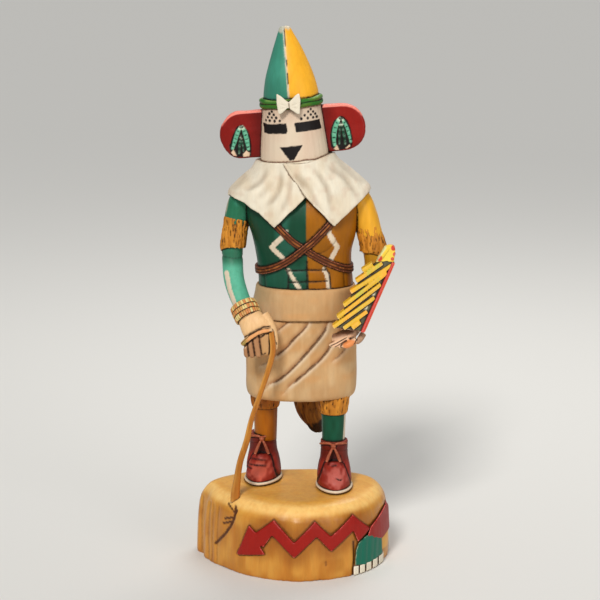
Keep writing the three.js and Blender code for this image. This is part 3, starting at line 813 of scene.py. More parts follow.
ears = {
    "halfHeight": 13.2, "reach": 40.8, "middle": 15, "thickness": 7.2, "root": 12, "bevel": 1.7,
    # for each ear: four leaves as a line and a half width, two tips, and the field round them
    -1: {
        "outer": [([(-28.9, 19.5), (-30.4, 17.3), (-31.9, 13.6), (-33.4, 9.9), (-34.2, 8)], 1.35),
                  ([(-27.8, 19.6), (-26.6, 16.5), (-25.8, 11.4), (-25.4, 7)], 1.4)],
        "inner": [([(-29.2, 14.7), (-30.2, 9.8), (-30.8, 5)], 0.85),
                  ([(-28.7, 13.8), (-28.4, 9.1), (-28.2, 6)], 0.65)],
        "tips": [[(-33.7, 7.7), (-35.5, 5.5), (-34.2, 3.9), (-32, 3.3)],
                 [(-26.5, 6.5), (-24.6, 4.7), (-25.2, 2.8), (-28.7, 2.8), (-28.8, 4.4)]],
        "field": [(-28.4, 20.9), (-31.2, 19), (-33.5, 14.8), (-35.7, 9.6), (-35.6, 4.6), (-32, 2.9),
                  (-24.3, 2.9), (-23.8, 8), (-24, 13), (-25.3, 17.6)],
    },
    1: {
        "outer": [([(26.8, 20.3), (24.9, 18), (23.7, 15), (22.8, 11.2), (22.6, 7.2), (22.8, 5.6)],
                   1.45),
                  ([(27.7, 20.1), (29.3, 17.4), (30.3, 14.7), (31.2, 10.5), (31.8, 6.8)], 1.05)],
        "inner": [([(26.6, 17.6), (25.9, 13.1), (25.5, 8.5), (25.4, 6)], 0.8),
                  ([(27.6, 17.6), (28.1, 12.6), (28.6, 8.9), (28.7, 5.8)], 0.95)],
        "tips": [[(24, 5.9), (22.1, 3.7), (22.9, 2.5), (25.2, 2.5)],
                 [(31.1, 5.5), (31.6, 3.9), (29.2, 2.8), (28.4, 3.2)]],
        "field": [(27.2, 21.6), (23.6, 19.1), (21.5, 14.6), (20.6, 9.1), (20.9, 4.7), (23, 2.2),
                  (32, 3.3), (32.8, 8.1), (32.1, 13.8), (30.6, 18.7), (28.8, 20.9)],
    },
}
bow = {
    "outline": [(-7.1, 38.7), (-6.3, 38.2), (-1.2, 33.7), (-0.8, 33.4), (4.5, 37.7), (5.5, 37.7),
                (5.8, 33.9), (4.7, 26.6), (3.7, 26.8), (-0.9, 29.9), (-1.6, 30.3), (-6.1, 27.2),
                (-6.9, 27.9), (-7.4, 33.1)],
    "front": -19.6, "thickness": 2.0, "bevel": 0.35, "knot": [(-0.7, 33), (-0.7, 29.6)],
    "creases": [[(-0.9, 31.2), (-6.4, 33.4)], [(-0.9, 31), (-6, 30)], [(-0.4, 31.2), (5.2, 33)],
                [(-0.4, 31), (4.6, 29.6)]],
}


def makeEar(side, name, node):
    middle, half = ears["middle"], ears["halfHeight"]
    corner = ears["reach"] - half
    turns = np.linspace(-math.pi / 2, math.pi / 2, 15)
    # the free end is a little squarer than a half circle
    end = [(corner + half * abs(math.cos(t)) ** 0.92, middle + half * math.copysign(
        abs(math.sin(t)) ** 0.95, t)) for t in turns]
    outline = [(ears["root"], middle - half)] + end + [(ears["root"], middle + half)]
    outline = [(side * x, z) for x, z in outline]
    thick = ears["thickness"] / 2
    piece = slab(name, outline, -thick, thick)
    soften(piece, ears["bevel"], 3)
    skin, flat = surface(piece, "ear", colours["red"])
    facing = front(skin, -0.2)
    waves = noise(flat * np.array([0.16, 0.3]) + 50, 31 + side) - 0.5
    skin["lift"] += waves * 0.7
    blot = noise(flat * np.array([0.14, 0.4]) + 80, 33 + side)
    fill(skin, 0.45 * ramp(blot, 0.4, 0.85), paint(150, 20, 12))
    fill(skin, ramp(-np.abs(flat[:, 0]), -27, -17) * 0.7 * facing, paint(84, 8, 4))
    fill(skin, ramp(-flat[:, 1], -11, -2) * 0.5, paint(100, 12, 6))
    fill(skin, (0.45 if side < 0 else 0.15) * facing, paint(96, 10, 3))
    # painted highlight on the upward faces of the ear
    top = ramp(skin["normals"][:, 2], 0.2, 0.55)
    fill(skin, top, paint(250, 142, 124))
    # a sunk black field behind the leaves, then each leaf raised out of it
    carved = ears[side]
    deep = inside(flat, carved["field"]) + (noise(flat * 0.8 + 8, 35) - 0.5) * 0.3
    fill(skin, ramp(deep, -0.3, 0.1) * facing, colours["black"])
    skin["lift"] -= ramp(deep, -0.5, 0.4) * 0.6 * facing
    for group, rise in (("inner", 0.75), ("outer", 1.0)):
        for line, wide in carved[group]:
            far, beside, along = lineField(flat, smoothSteps(line, 3))
            width = wide * (0.5 + 0.55 * np.sin(np.clip(along + 0.06, 0, 0.93) * math.pi) ** 0.6)
            body = ramp(width - far, -0.1, 0.3) * facing
            skin["lift"] += body * rise
            pale = noise(np.stack([along * 9, far * 0 + beside * 0.5 + 5], 1), 36)
            fill(skin, body, colours["leaf" if group == "outer" else "deepTeal"] * 1.0)
            fill(skin, body * ramp(pale, 0.5, 0.85) * 0.3, paint(150, 200, 170))
            fill(skin, body * ramp(-along, -0.16, -0.04) * 0.8, paint(226, 236, 206))
            bars = ramp(np.sin((along + 0.03) * math.tau * 5.6), 0.62, 0.86) * ramp(-far, -wide, -0.2)
            fill(skin, bars * body, paint(4, 44, 32) if group == "outer" else colours["black"])
            skin["lift"] -= bars * body * 0.2
    for outline in carved["tips"]:
        tip = ramp(inside(flat, outline), -0.15, 0.3) * facing
        fill(skin, tip, paint(222, 192, 160))
        skin["lift"] += tip * 0.7
    lean(skin)
    finish(skin, "redPaint", "red_paint", node)


def makeBow():
    piece = slab("bow_tie", bow["outline"], bow["front"], bow["front"] + bow["thickness"])
    soften(piece, bow["bevel"])
    skin, flat = surface(piece, "bow", colours["white"])
    facing = front(skin, 0)
    for line in bow["creases"]:
        cut(skin, flat, line, 0.9, 0.22, 0.28, facing=facing, taper=0.3)
    cut(skin, flat, bow["knot"], 0.9, 0.45, 0.8, facing=facing)
    skin["lift"] += facing * 0.35 * ramp(-np.abs(np.abs(flat[:, 0] + 0.7) - 4), -3, 0)
    # painted shadow: the downward faces of the bow are painted black
    shadowedUnderside = ramp(-skin["normals"][:, 2], 0.3, 0.8)
    fill(skin, shadowedUnderside * 0.9, colours["black"])
    lean(skin)
    finish(skin, "clothPaint", "cream_paint", "bow")


makeEar(-1, "earPlateNear", "ear_near")
makeEar(1, "earPlateFar", "ear_far")
makeBow()


# Trunk: painted chest, belt and wrapped kilt

figureY = 8
trunk = {
    "chest": [(5.4, figureY, 156, 26.6, 19.2, 2.3), (5.6, figureY, 160, 26.8, 19.5, 2.3),
              (4.9, figureY, 170, 26.6, 19.5, 2.3), (4.2, figureY, 179, 27.2, 20, 2.3),
              (4.3, figureY, 188, 29.2, 21, 2.3), (3.5, figureY, 198, 31.5, 21.5, 2.4),
              (3, figureY, 207, 32, 19.5, 2.4), (1.5, figureY, 215, 25, 15.5, 2.2),
              (-0.6, figureY, 228, 11, 11, 2)],
    "seam": [(5.4, 216), (5.6, 200), (6.2, 176), (7.2, 158)],
    "nearStripe": [[(-5.6, 193.5), (-7.2, 190.8), (-13.4, 183.9), (-5.2, 176)],
                   [(-4.6, 171.2), (-2, 167.2), (2.6, 159)]],
    "farStripe": [[(17.9, 193.5), (18.9, 190.8), (22.7, 184.1), (18.8, 175.6)],
                  [(15.6, 171.6), (17.4, 168), (18.6, 159)]],
    "stripeWidth": 2.5,
    "muscles": [([(6.1, 176), (6.4, 159)], 0.9, 0.95), ([(-5, 170.8), (6, 171.2)], 0.55, 0.9),
                ([(-3.9, 164.2), (6, 164.6)], 0.55, 0.9), ([(6, 171.4), (17, 171.2)], 0.55, 0.9),
                ([(6, 164.6), (17.4, 164.8)], 0.55, 0.9),
                ([(-6.4, 173.4), (-4.2, 168), (-4.6, 158)], 0.6, 0.9),
                ([(16, 173.4), (18.8, 168.6), (19.8, 158)], 0.6, 0.9),
                ([(-13, 187.6), (-8, 182.4), (0, 179.2), (5.6, 180.4)], 0.3, 0.25),
                ([(22, 187.6), (17, 182.4), (10, 179.6), (6.2, 180.4)], 0.3, 0.45),
                ([(-18.4, 170.6), (-17.4, 160)], 0.3, 0.5), ([(26.6, 170), (27.4, 160)], 0.3, 0.5)],
    # rounded breast and belly: the middle, how wide and high, and how far they stand out
    "swells": [(-8, 187, 11, 8, 0.9), (18, 187, 10, 8, 0.9), (0.8, 167.8, 4, 3, 0.5),
               (11.6, 168, 4.4, 3, 0.5)],
    "belt": [(4.2, figureY, 142.3, 28.6, 21.9, 2.3), (4.2, figureY, 143, 29.7, 22.9, 2.3),
             (4.4, figureY, 148, 29.3, 22.8, 2.3), (4.7, figureY, 153, 28.7, 22.4, 2.3),
             (5.3, figureY, 158.4, 28.4, 21.6, 2.3), (5.4, figureY, 159.8, 28, 21.2, 2.3),
             (5.4, figureY, 160.2, 26.9, 20.2, 2.3)],
    "kilt": [(3, figureY, 94.8, 26.4, 16.6, 2.3), (3, figureY, 95.2, 29, 19, 2.3),
             (3, figureY, 97, 30.6, 20.5, 2.4), (3, figureY, 101, 31.4, 21, 2.5),
             (3, figureY, 113, 31.6, 21.2, 2.5), (3.2, figureY, 126, 31, 21.2, 2.4),
             (3.8, figureY, 137, 29.4, 21, 2.4), (4.1, figureY, 144, 28, 20.2, 2.3)],
    "folds": [([(-4.4, 141.4), (-7.2, 139.4), (-10.4, 136.6)], 0.7),
              ([(7, 141), (4.6, 137.8), (-1, 132), (-6, 126.4), (-11.6, 121.8)], 1.0),
              ([(18, 141), (15.8, 135.6), (9.1, 127.2), (1.4, 118.5), (-7.7, 109.6), (-14.6, 105.4)],
               1.1),
              ([(26, 137), (19.7, 128), (15.5, 121.8), (7.8, 114.5), (-2.9, 105.2)], 1.1),
              ([(28.4, 125.6), (24.6, 121.8), (21.4, 119.4)], 0.6),
              ([(-15.4, 118.6), (-19.4, 116)], 0.5),
              ([(-16, 103.6), (-19, 101.4)], 0.35), ([(-4.2, 104), (-7, 100.6)], 0.35)],
    "backFolds": [([(8, 142), (0, 128), (-12, 112), (-22, 104)], 0.8),
                  ([(24, 138), (14, 122), (2, 108)], 0.8), ([(-8, 142), (-18, 128), (-26, 120)], 0.7)],
}


def makeChest():
    piece = loft("chest", trunk["chest"], sides=36, steps=4)
    skin, flat = surface(piece, "chest", colours["deepTeal"])
    facing = front(skin, 0.1)
    seam = np.interp(flat[:, 1], [p[1] for p in trunk["seam"][::-1]],
                     [p[0] for p in trunk["seam"][::-1]])
    far = ramp(flat[:, 0] - seam, -0.2, 0.2)
    light = noise(flat * 0.13 + 10, 41)
    fill(skin, 0.4 * ramp(light, 0.5, 0.9), colours["teal"] * 0.6)
    fill(skin, far, colours["deepOchre"] * (0.72 + 0.28 * light[:, None]))
    for group in (trunk["nearStripe"], trunk["farStripe"]):
        for n, line in enumerate(group):
            brushLine(skin, flat, line, trunk["stripeWidth"] * (1.1 if n == 0 else 0.95),
                      colours["cream"], facing, 0.5, 42 + n)
    for line, depth, washAndShade in trunk["muscles"]:
        cut(skin, flat, line, 1.3, depth, washAndShade, facing=facing)
    for x, z, wide, high, rise in trunk["swells"]:
        swell = ((flat[:, 0] - x) / wide) ** 2 + ((flat[:, 1] - z) / high) ** 2
        skin["lift"] += np.exp(-swell * 1.4) * rise * facing
    finish(skin, "satinPaint")


def makeBelt():
    piece = loft("belt", trunk["belt"], sides=36, steps=3)
    skin, flat = surface(piece, "belt", colours["tan"])
    skin["lift"] += (noise(flat * 0.16 + 30, 43) - 0.5) * 0.5
    weave(skin, flat, 44)
    fill(skin, 0.6 * ramp(-flat[:, 0], 2, 24), paint(176, 152, 118))
    fill(skin, 0.35 * ramp(flat[:, 0], 6, 26), paint(222, 166, 108))
    finish(skin, "clothPaint")


def makeKilt():
    piece = loft("kilt", trunk["kilt"], sides=36, steps=3)
    skin, flat = surface(piece, "kilt", colours["tan"])
    facing = front(skin, 0.1)
    skin["lift"] += (noise(flat * 0.11 + 3, 45) - 0.5) * 0.7
    weave(skin, flat, 46)
    for line, depth in trunk["folds"]:
        # each pleat lies over the next: a sharp dark edge with the cloth rising to it, with painted
        # shade on one side of the line and a painted highlight on the other
        line = smoothSteps(line, 4)
        shade, side = lineField(flat, line)[:2]
        fill(skin, facing * 0.5 * depth * ramp(-shade, -3.4, 0) * (side < 0), colours["brown"] * 1.3)
        fill(skin, facing * 0.35 * depth * ramp(-shade, -3, -0.6) * (side > 0), colours["white"])
        cut(skin, flat, line, 1.15, 0.95 * depth, min(1, depth), step=1.0 * depth, facing=facing,
            taper=0.08)
    behind = 1 - front(skin, 0.4)
    for line, depth in trunk["backFolds"]:
        cut(skin, flat, smoothSteps(line, 4), 1.3, 0.9 * depth, 0.7, step=0.8, facing=behind,
            taper=0.1)
    finish(skin, "clothPaint")


def weave(skin, flat, seed):
    # the colour of thin paint over bare wood: warm and pale patches, with rubbed places
    warm = noise(flat * np.array([0.1, 0.22]) + 7, seed)
    fill(skin, 0.35 * ramp(warm, 0.45, 0.85), paint(206, 146, 84))
    pale = noise(flat * np.array([0.3, 0.14]) + 17, seed + 1)
    fill(skin, 0.35 * ramp(pale, 0.5, 0.9), paint(222, 190, 144))
    grey = noise(flat * np.array([0.07, 0.07]) + 27, seed + 2)
    fill(skin, 0.35 * ramp(grey, 0.55, 0.95), paint(168, 140, 104))


makeChest()
makeBelt()
makeKilt()


# Straps crossed on the chest, and the collar cloth

straps = {
    "under": [(-17, 203), (-3.4, 189), (4.3, 183.6), (12.2, 178.4), (21.7, 173.4), (30, 170),
              (36, 168.8)],
    "over": [(24, 203), (11.6, 189.9), (4.3, 183.6), (-3.4, 177.4), (-11.8, 172.4), (-20, 169.2),
             (-26, 168.2)],
    "width": 3.8, "rise": 1.1, "sunk": 0.8, "overRise": 0.7,
}
collar = {
    "cloth": [(1.5, figureY, 186, 41, 24, 2.3), (1.5, figureY, 204, 41, 24, 2.3),
              (1.5, figureY, 213.5, 39.6, 22.5, 2.3), (2, figureY, 217, 37.8, 21.5, 2.2),
              (2.3, figureY, 222, 32.4, 20.5, 2.1), (1.9, figureY, 227, 26.6, 20, 2),
              (0.1, figureY, 232, 22.2, 19.5, 2), (-0.8, figureY, 238, 20.2, 18.8, 2)],
    "nearLapel": [(-23.5, 230.6), (-14, 231), (-6, 231.6), (2, 232.4), (12, 233), (8, 213),
                  (5.4, 212.8), (-4, 203.8), (-12.1, 195.6), (-14.2, 197.6), (-20, 203.2),
                  (-28.4, 208.5), (-38.1, 212), (-41.5, 212.6), (-44, 214), (-44, 222)],
    "farLapel": [(-7.4, 231.6), (0, 231.4), (6, 231.9), (14, 233.6), (21.4, 235), (30, 231),
                 (46, 222), (46, 214.8), (41.2, 214), (31, 205.4), (21.3, 196.4), (18.4, 199.4),
                 (6, 212.6), (-2, 223)],
    "backCloth": [(-26, 230.6), (0, 232.4), (21, 235), (46, 222), (46, 214), (38, 209.6),
                  (22, 202.6), (1.5, 200.2), (-20, 202.6), (-36, 209), (-44, 213), (-44, 222)],
    "over": 1.1,
    "hem": [(-5.7, 232.3), (-0.3, 223.7), (7.7, 213.3), (20.1, 200.1), (23, 197.1)],
    "backFolds": [([(-20, 226), (-26, 210)], 0.7, 0.3), ([(2, 230), (2, 204)], 0.8, 0.3),
                  ([(18, 228), (28, 211)], 0.7, 0.3), ([(-10, 228), (-12, 206)], 0.5, 0.2)],
    # folds in the cloth: the line, how deep and how dark
    "nearFolds": [([(-16, 229), (-20, 221), (-30, 215)], 0.7, 0.3),
                  ([(-8, 228), (-10, 216), (-18, 206)], 0.8, 0.35),
                  ([(-3, 226), (-4, 214), (-10, 202)], 0.5, 0.25),
                  ([(-27, 224), (-34, 217), (-40, 214.6)], 0.35, 0.15),
                  ([(-12, 222), (-22, 211)], 0.4, 0.2)],
    "farFolds": [([(0, 227), (8, 216), (14, 204)], 0.5, 0.22),
                 ([(9, 230), (17, 218), (20, 204)], 0.8, 0.3),
                 ([(16, 231), (28, 222), (35, 211)], 0.7, 0.28),
                 ([(22, 231), (34, 221.5), (42, 217)], 0.4, 0.18),
                 ([(-2, 226.8), (6, 217.2)], 0.3, 0.35)],
}


def makeStraps():
    # each strap is the part of a thin shell round the chest that a stripe cuts out
    def shell(name, line, rise):
        grown = [(x, y, z, wide + rise, deep + rise, square)
                 for x, y, z, wide, deep, square in trunk["chest"]]
        shrunk = [(x, y, z, wide - straps["sunk"], deep - straps["sunk"], square)
                  for x, y, z, wide, deep, square in trunk["chest"]]
        piece = slab(name, ribbon(smoothSteps(line, 3), straps["width"]), -20, 44)
        combine(piece, loft("outer", grown, sides=36, steps=4), "INTERSECT")
        combine(piece, loft("inner", shrunk, sides=36, steps=4), "DIFFERENCE")
        return evenOut(piece, "strap")

    for name, line, rise in (("strapUnder", straps["under"], straps["rise"]),
                             ("strapOver", straps["over"], straps["rise"] + straps["overRise"])):
        piece = shell(name, line, rise)
        skin = readSkin(piece, paint(104, 52, 20))
        flat = view(skin)
        far, side, along = lineField(flat, smoothSteps(line, 3))
        # a leather thong of three strands, with a broken painted highlight along the middle one
        for offset, depth in ((-0.75, 0.45), (0.75, 0.45)):
            gap = np.abs(far * np.sign(side) - offset)
            skin["lift"] -= ramp(-gap, -0.5, 0) * depth
            darken(skin, ramp(-gap, -0.45, -0.05) * 0.85)
        bands = noise(np.stack([along * 30, far * 0 + 2], 1), 51)
        fill(skin, ramp(-far, -0.7, -0.2) * ramp(bands, 0.45, 0.7) * 0.75, paint(198, 118, 52))
        fill(skin, ramp(bands, 0.55, 0.85) * 0.6, paint(54, 22, 8))
        finish(skin, "leatherPaint")


def clothFolds(skin, folds, facing, flat):
    for line, depth, washAndShade in folds:
        line = smoothSteps(line, 4)
        far, side, along = lineField(flat, line)
        fade = np.clip(np.minimum(along, 1 - along) / 0.25, 0.1, 1) * facing
        skin["lift"] -= np.exp(-(far / 1.6) ** 2) * depth * fade
        skin["lift"] += np.exp(-((far - 2.6) / 1.7) ** 2) * depth * 0.55 * fade * (side > 0)
        # painted shade along each fold
        fill(skin, np.exp(-(far / 1.5) ** 2) * washAndShade * fade * 1.3, paint(120, 92, 64))


def makeCollar():
    def cloth(name, outline, front, back, grow):
        grown = [(x, y, z, wide + grow, deep + grow, square)
                 for x, y, z, wide, deep, square in collar["cloth"]]
        piece = slab(name, outline, front, back)
        combine(piece, loft("body", grown, sides=36, steps=4), "INTERSECT")
        return piece

    near = cloth("near", collar["nearLapel"], -26, figureY + 0.5, 0)
    behind = cloth("behind", collar["backCloth"], figureY, 44, 0)
    skin, flat = surface(merge([near, behind], "collarNear"), "collar", colours["white"])
    facing = front(skin, 0.3)
    clothFolds(skin, collar["nearFolds"], facing, flat)
    behindSide = 1 - front(skin, 0.5)
    clothFolds(skin, collar["backFolds"], behindSide, flat)
    clothColour(skin, flat, 61)
    finish(skin, "clothPaint", "cream_paint")

    piece = cloth("collarFar", collar["farLapel"], -27, figureY + 0.5, collar["over"])
    skin, flat = surface(piece, "collar", colours["white"])
    facing = front(skin, 0.3)
    clothFolds(skin, collar["farFolds"], facing, flat)
    cut(skin, flat, collar["hem"], 0.9, 0.3, 0.32, facing=facing)
    clothColour(skin, flat, 62)
    finish(skin, "clothPaint", "cream_paint")


def clothColour(skin, flat, seed):
    skin["lift"] += (noise(flat * 0.2 + 5, seed) - 0.5) * 0.6
    shade = noise(flat * np.array([0.14, 0.1]) + 40, seed + 5)
    fill(skin, 0.4 * ramp(shade, 0.45, 0.9), paint(206, 180, 142))
    fill(skin, 0.2 * ramp(noise(flat * 0.3, seed + 6), 0.55, 0.9), paint(196, 150, 120))


makeStraps()
makeCollar()


# Arms, fur sleeves, bead cuff and hands

arms = {
    "near": {
        "name": "armNear", "colour": paint(94, 178, 146), "upper": paint(40, 112, 80),
        "limb": [(-27.4, -17.2, 148, 5.1, 4.9), (-31.8, -9.5, 156, 5.5, 5.4),
                 (-34.9, -1.5, 164, 5.8, 6), (-35.8, 5, 172.4, 5.9, 6.3), (-35.9, 6.8, 182, 6.1, 6.4),
                 (-34.4, 7.2, 192, 6.6, 7.2), (-32.6, 7.8, 200, 7.4, 8.2), (-30.6, 8, 206, 7.6, 8.6),
                 (-27, 8, 213, 7, 7)],
        "sleeve": [(-35.8, 6.4, 180.4, 6.6, 7.2), (-35.8, 6.5, 181, 7.4, 8),
                   (-35.3, 6.8, 185, 7.5, 8.1), (-34.4, 7.1, 191, 7.3, 8.1),
                   (-33.4, 7.4, 196.4, 7.4, 8.2), (-33.2, 7.5, 197.4, 6.8, 7.4)],
        "stripe": [(-38.9, 168), (-37.2, 160), (-33.9, 152.4)], "crease": 176.4,
    },
    "far": {
        "name": "armFar", "colour": paint(180, 124, 22), "upper": paint(232, 168, 44),
        "limb": [(32.4, -16.4, 142.4, 5.1, 4.9), (38, -9, 151, 5.4, 5.4), (42.5, -1, 160, 5.8, 6),
                 (44.6, 5.5, 169.5, 6, 6.4), (44, 7.6, 179, 6.3, 6.8), (41.4, 7.8, 190, 6.8, 7.6),
                 (38.4, 8, 199, 7.5, 8.4), (35.4, 8, 206, 7.7, 8.6), (31, 8, 213, 7, 7)],
        "sleeve": [(43.8, 7.6, 178.3, 6.9, 7.4), (43.8, 7.6, 179, 7.9, 8.3),
                   (42.9, 7.7, 183.4, 7.6, 8.1), (41.2, 7.9, 189, 7.2, 8),
                   (39.8, 8, 194.4, 7, 8), (39.4, 8, 195.4, 6.4, 7.2)],
        "stripe": [], "crease": 0,
    },
}


def furStrokes(skin, rings, count, length, seed, deep=0.55):
    # short knife strokes round a sleeve, with the long ones darkest
    rings = np.array([ring[:3] for ring in rings])
    mid = rings.mean(0)
    flat = wrap(skin, mid[:2], 7.5)
    strokes = np.random.default_rng(seed)
    low, high = rings[:, 2].min(), rings[:, 2].max()
    outer = np.abs(skin["normals"][:, 2]) < 0.75
    for stroke in range(count):
        x = strokes.uniform(-23.5, 23.5)
        z = strokes.uniform(low, high)
        run = length * strokes.uniform(0.5, 1.4)
        slant = strokes.uniform(-0.35, 0.35)
        cut(skin, flat, [(x, z - run / 2), (x + slant, z + run / 2)], strokes.uniform(0.5, 0.95),
            deep * strokes.uniform(0.4, 1), strokes.uniform(0.15, 0.95), facing=outer * 1.0,
            taper=0.3)
    # ragged ends
    fringe = np.sin(flat[:, 0] * 2.4 + np.sin(flat[:, 0] * 0.9) * 2)
    skin["lift"] += fringe * 0.15 * outer
    blot = noise(flat * np.array([0.5, 0.12]) + 60, seed)
    fill(skin, 0.35 * ramp(blot, 0.4, 0.8), paint(150, 84, 24))
    fill(skin, 0.3 * ramp(-blot, -0.35, -0.1), paint(226, 158, 62))


def makeArms():
    for arm in arms.values():
        piece = loft(arm["name"], arm["limb"], sides=24, steps=5, follow=True)
        skin, flat = surface(piece, "arm", arm["colour"])
        upper = ramp(skin["points"][:, 2], 172, 186)
        fill(skin, upper, arm["upper"])
        patch = noise(flat * np.array([0.3, 0.12]) + 12, 71)
        fill(skin, 0.35 * ramp(patch, 0.5, 0.9), colours["teal" if arm["stripe"] else "yellow"])
        if arm["stripe"]:
            brushLine(skin, flat, arm["stripe"], 2.6, colours["cream"], 1, 0.4, 72)
            cut(skin, flat, [(-42, arm["crease"]), (-29, arm["crease"] - 1)], 1.4, 0.35, 0.5)
            # painted shade below the fur sleeve, round the elbow crease
            shade = ramp(skin["points"][:, 2], 170, 175) * ramp(-skin["points"][:, 2], -184, -178)
            fill(skin, shade * 0.75, paint(30, 84, 56))
        edge = ramp(skin["normals"][:, 0] * (1 if not arm["stripe"] else -1), 0.86, 0.97)
        fill(skin, edge * ramp(skin["points"][:, 2], 199, 203) * 0.8, colours["cream"])
        finish(skin, "satinPaint")

        piece = loft(arm["name"].replace("arm", "sleeve"), arm["sleeve"], sides=24, steps=4,
                     follow=True)
        evenOut(piece, "sleeve")
        skin = readSkin(piece, colours["fur"])
        furStrokes(skin, arm["sleeve"], 260, 4.2, 73)
        finish(skin, "furPaint")


makeArms()


hands = {
    "cuffFrom": (-26.2, -19.3, 145.7), "cuffTo": (-29.8, -13.8, 152.2), "cuffDepth": 0.86,
    "cuffLevels": [(0, 7), (0.04, 7.8), (0.3, 7.8), (0.34, 7.1), (0.38, 7.9), (0.63, 7.9),
                   (0.67, 7.1), (0.71, 7.9), (1, 7.6)],
    "beads": 30,
    "palm": [(-19.5, -22, 131, 8.2, 4.2, 2.6), (-20.6, -22.6, 138, 8.8, 4.8, 2.5),
             (-23.4, -21.6, 142.5, 8, 5.2, 2.3), (-26.6, -18.5, 147, 6.6, 5)],
    "fist": [(-28.9, 131.4), (-28.6, 125.6), (-26.7, 124.9), (-20.3, 125.5), (-14.6, 126.9),
             (-13.9, 131), (-13.9, 139.2), (-17, 139.6), (-21.6, 137.6), (-24.8, 135.2)],
    "fistFront": -27.6,
    "ridge": [(-30, -25.6, 132.2, 1.3), (-27.6, -26.9, 134.6, 1.6), (-24.6, -27.7, 137.1, 1.75),
              (-20, -28.2, 139.8, 1.8), (-15.6, -28, 140.9, 1.5), (-13.4, -27.2, 140.6, 1)],
    "thumb": [(-11.4, -23.8, 129, 1.1, 1.2), (-11.8, -24, 131.6, 1.9, 2.2),
              (-12.3, -23.6, 136, 2.3, 2.8), (-13.8, -22.4, 141.5, 2.6, 3.4),
              (-18, -20, 148, 3, 3.4)],
    "gaps": [[(-27, 133), (-26.1, 125)], [(-24.1, 135), (-22.7, 125.4)],
             [(-20.6, 138), (-19, 126)], [(-14.3, 139.6), (-13.9, 129)]],
    "ridgeTop": [(-31, 133), (-28.6, 136.1), (-25.4, 138.8), (-21.6, 141.1), (-18, 142.5),
                 (-14.4, 142.4)],
    "ridgeFoot": [(-29, 130.9), (-26.8, 133), (-24.7, 134.9), (-21.6, 137.3), (-18, 138.9),
                  (-14, 139.2)],
    "farPalm": [(20.5, -21.6, 134.8, 2.4, 3.4), (24, -22, 135.4, 3, 4.4), (30, -20, 137.6, 4, 5.4),
                (34.5, -14, 143, 4.6, 5.2)],
    "farFingers": [[(18.4, -26.4, 131.8, 0.7), (21.6, -26.4, 133, 1.2), (28.4, -25.2, 136.6, 1.5)],
                   [(20.4, -26.8, 131, 0.8), (23.4, -26.6, 132.4, 1.2), (29, -25.2, 135.2, 1.5)],
                   [(23.8, -26.9, 130.8, 0.8), (26, -26.6, 131.9, 1.2), (30, -25.4, 134.2, 1.5)],
                   [(25.6, -27.2, 131.4, 1.3), (28.6, -27.4, 132.2, 1.9), (33.2, -25.8, 134.6, 1.8)],
                   [(33.4, -25.6, 133, 1.3), (35.4, -24.6, 134.8, 1.8), (37.4, -22.6, 137.6, 1.9)]],
    "farLines": [[(19.4, 131.8), (28, 136.2)], [(21.8, 131.2), (27.6, 134.6)],
                 [(24.6, 131.6), (25.6, 133.4), (28, 134.8)],
                 [(24.8, 130.8), (28.4, 129.8), (32.6, 131.4)], [(32.4, 132.4), (33.4, 135)]],
}


def makeCuff():
    start, end = np.array(hands["cuffFrom"]), np.array(hands["cuffTo"])
    rings = [(*(start + (end - start) * t), half, half * hands["cuffDepth"])
             for t, half in hands["cuffLevels"]]
    piece = loft("beadCuff", rings, sides=28, steps=2, follow=True)
    evenOut(piece, "cuff")
    skin = readSkin(piece, paint(214, 160, 92))
    way = end - start
    size = np.linalg.norm(way)
    way /= size
    off = skin["points"] - start
    level = off @ way / size
    across = np.cross(way, (0, 0, 1))
    across /= np.linalg.norm(across)
    angle = np.arctan2(off @ across, off @ np.cross(way, across))
    for row, (low, high) in enumerate(((0, 0.34), (0.34, 0.67), (0.67, 1.05))):
        cell = (angle / math.tau + 0.5) * hands["beads"] + row * 0.37
        part = np.abs(cell % 1 - 0.5)
        within = (level >= low) * (level < high) * 1.0
        shade = np.random.default_rng(80 + row).random(hands["beads"] + 2)
        chosen = shade[cell.astype(int)]
        fill(skin, within * (chosen > 0.6) * 0.8, paint(238, 220, 146))
        fill(skin, within * (chosen < 0.25) * 0.7, paint(216, 128, 70))
        gap = ramp(part, 0.3, 0.5) * within
        skin["lift"] -= gap * 0.35
        darken(skin, gap * 0.85)
    for level0 in (0.32, 0.65):
        darken(skin, ramp(-np.abs(level - level0), -0.06, -0.02))
    finish(skin, "skinPaint")


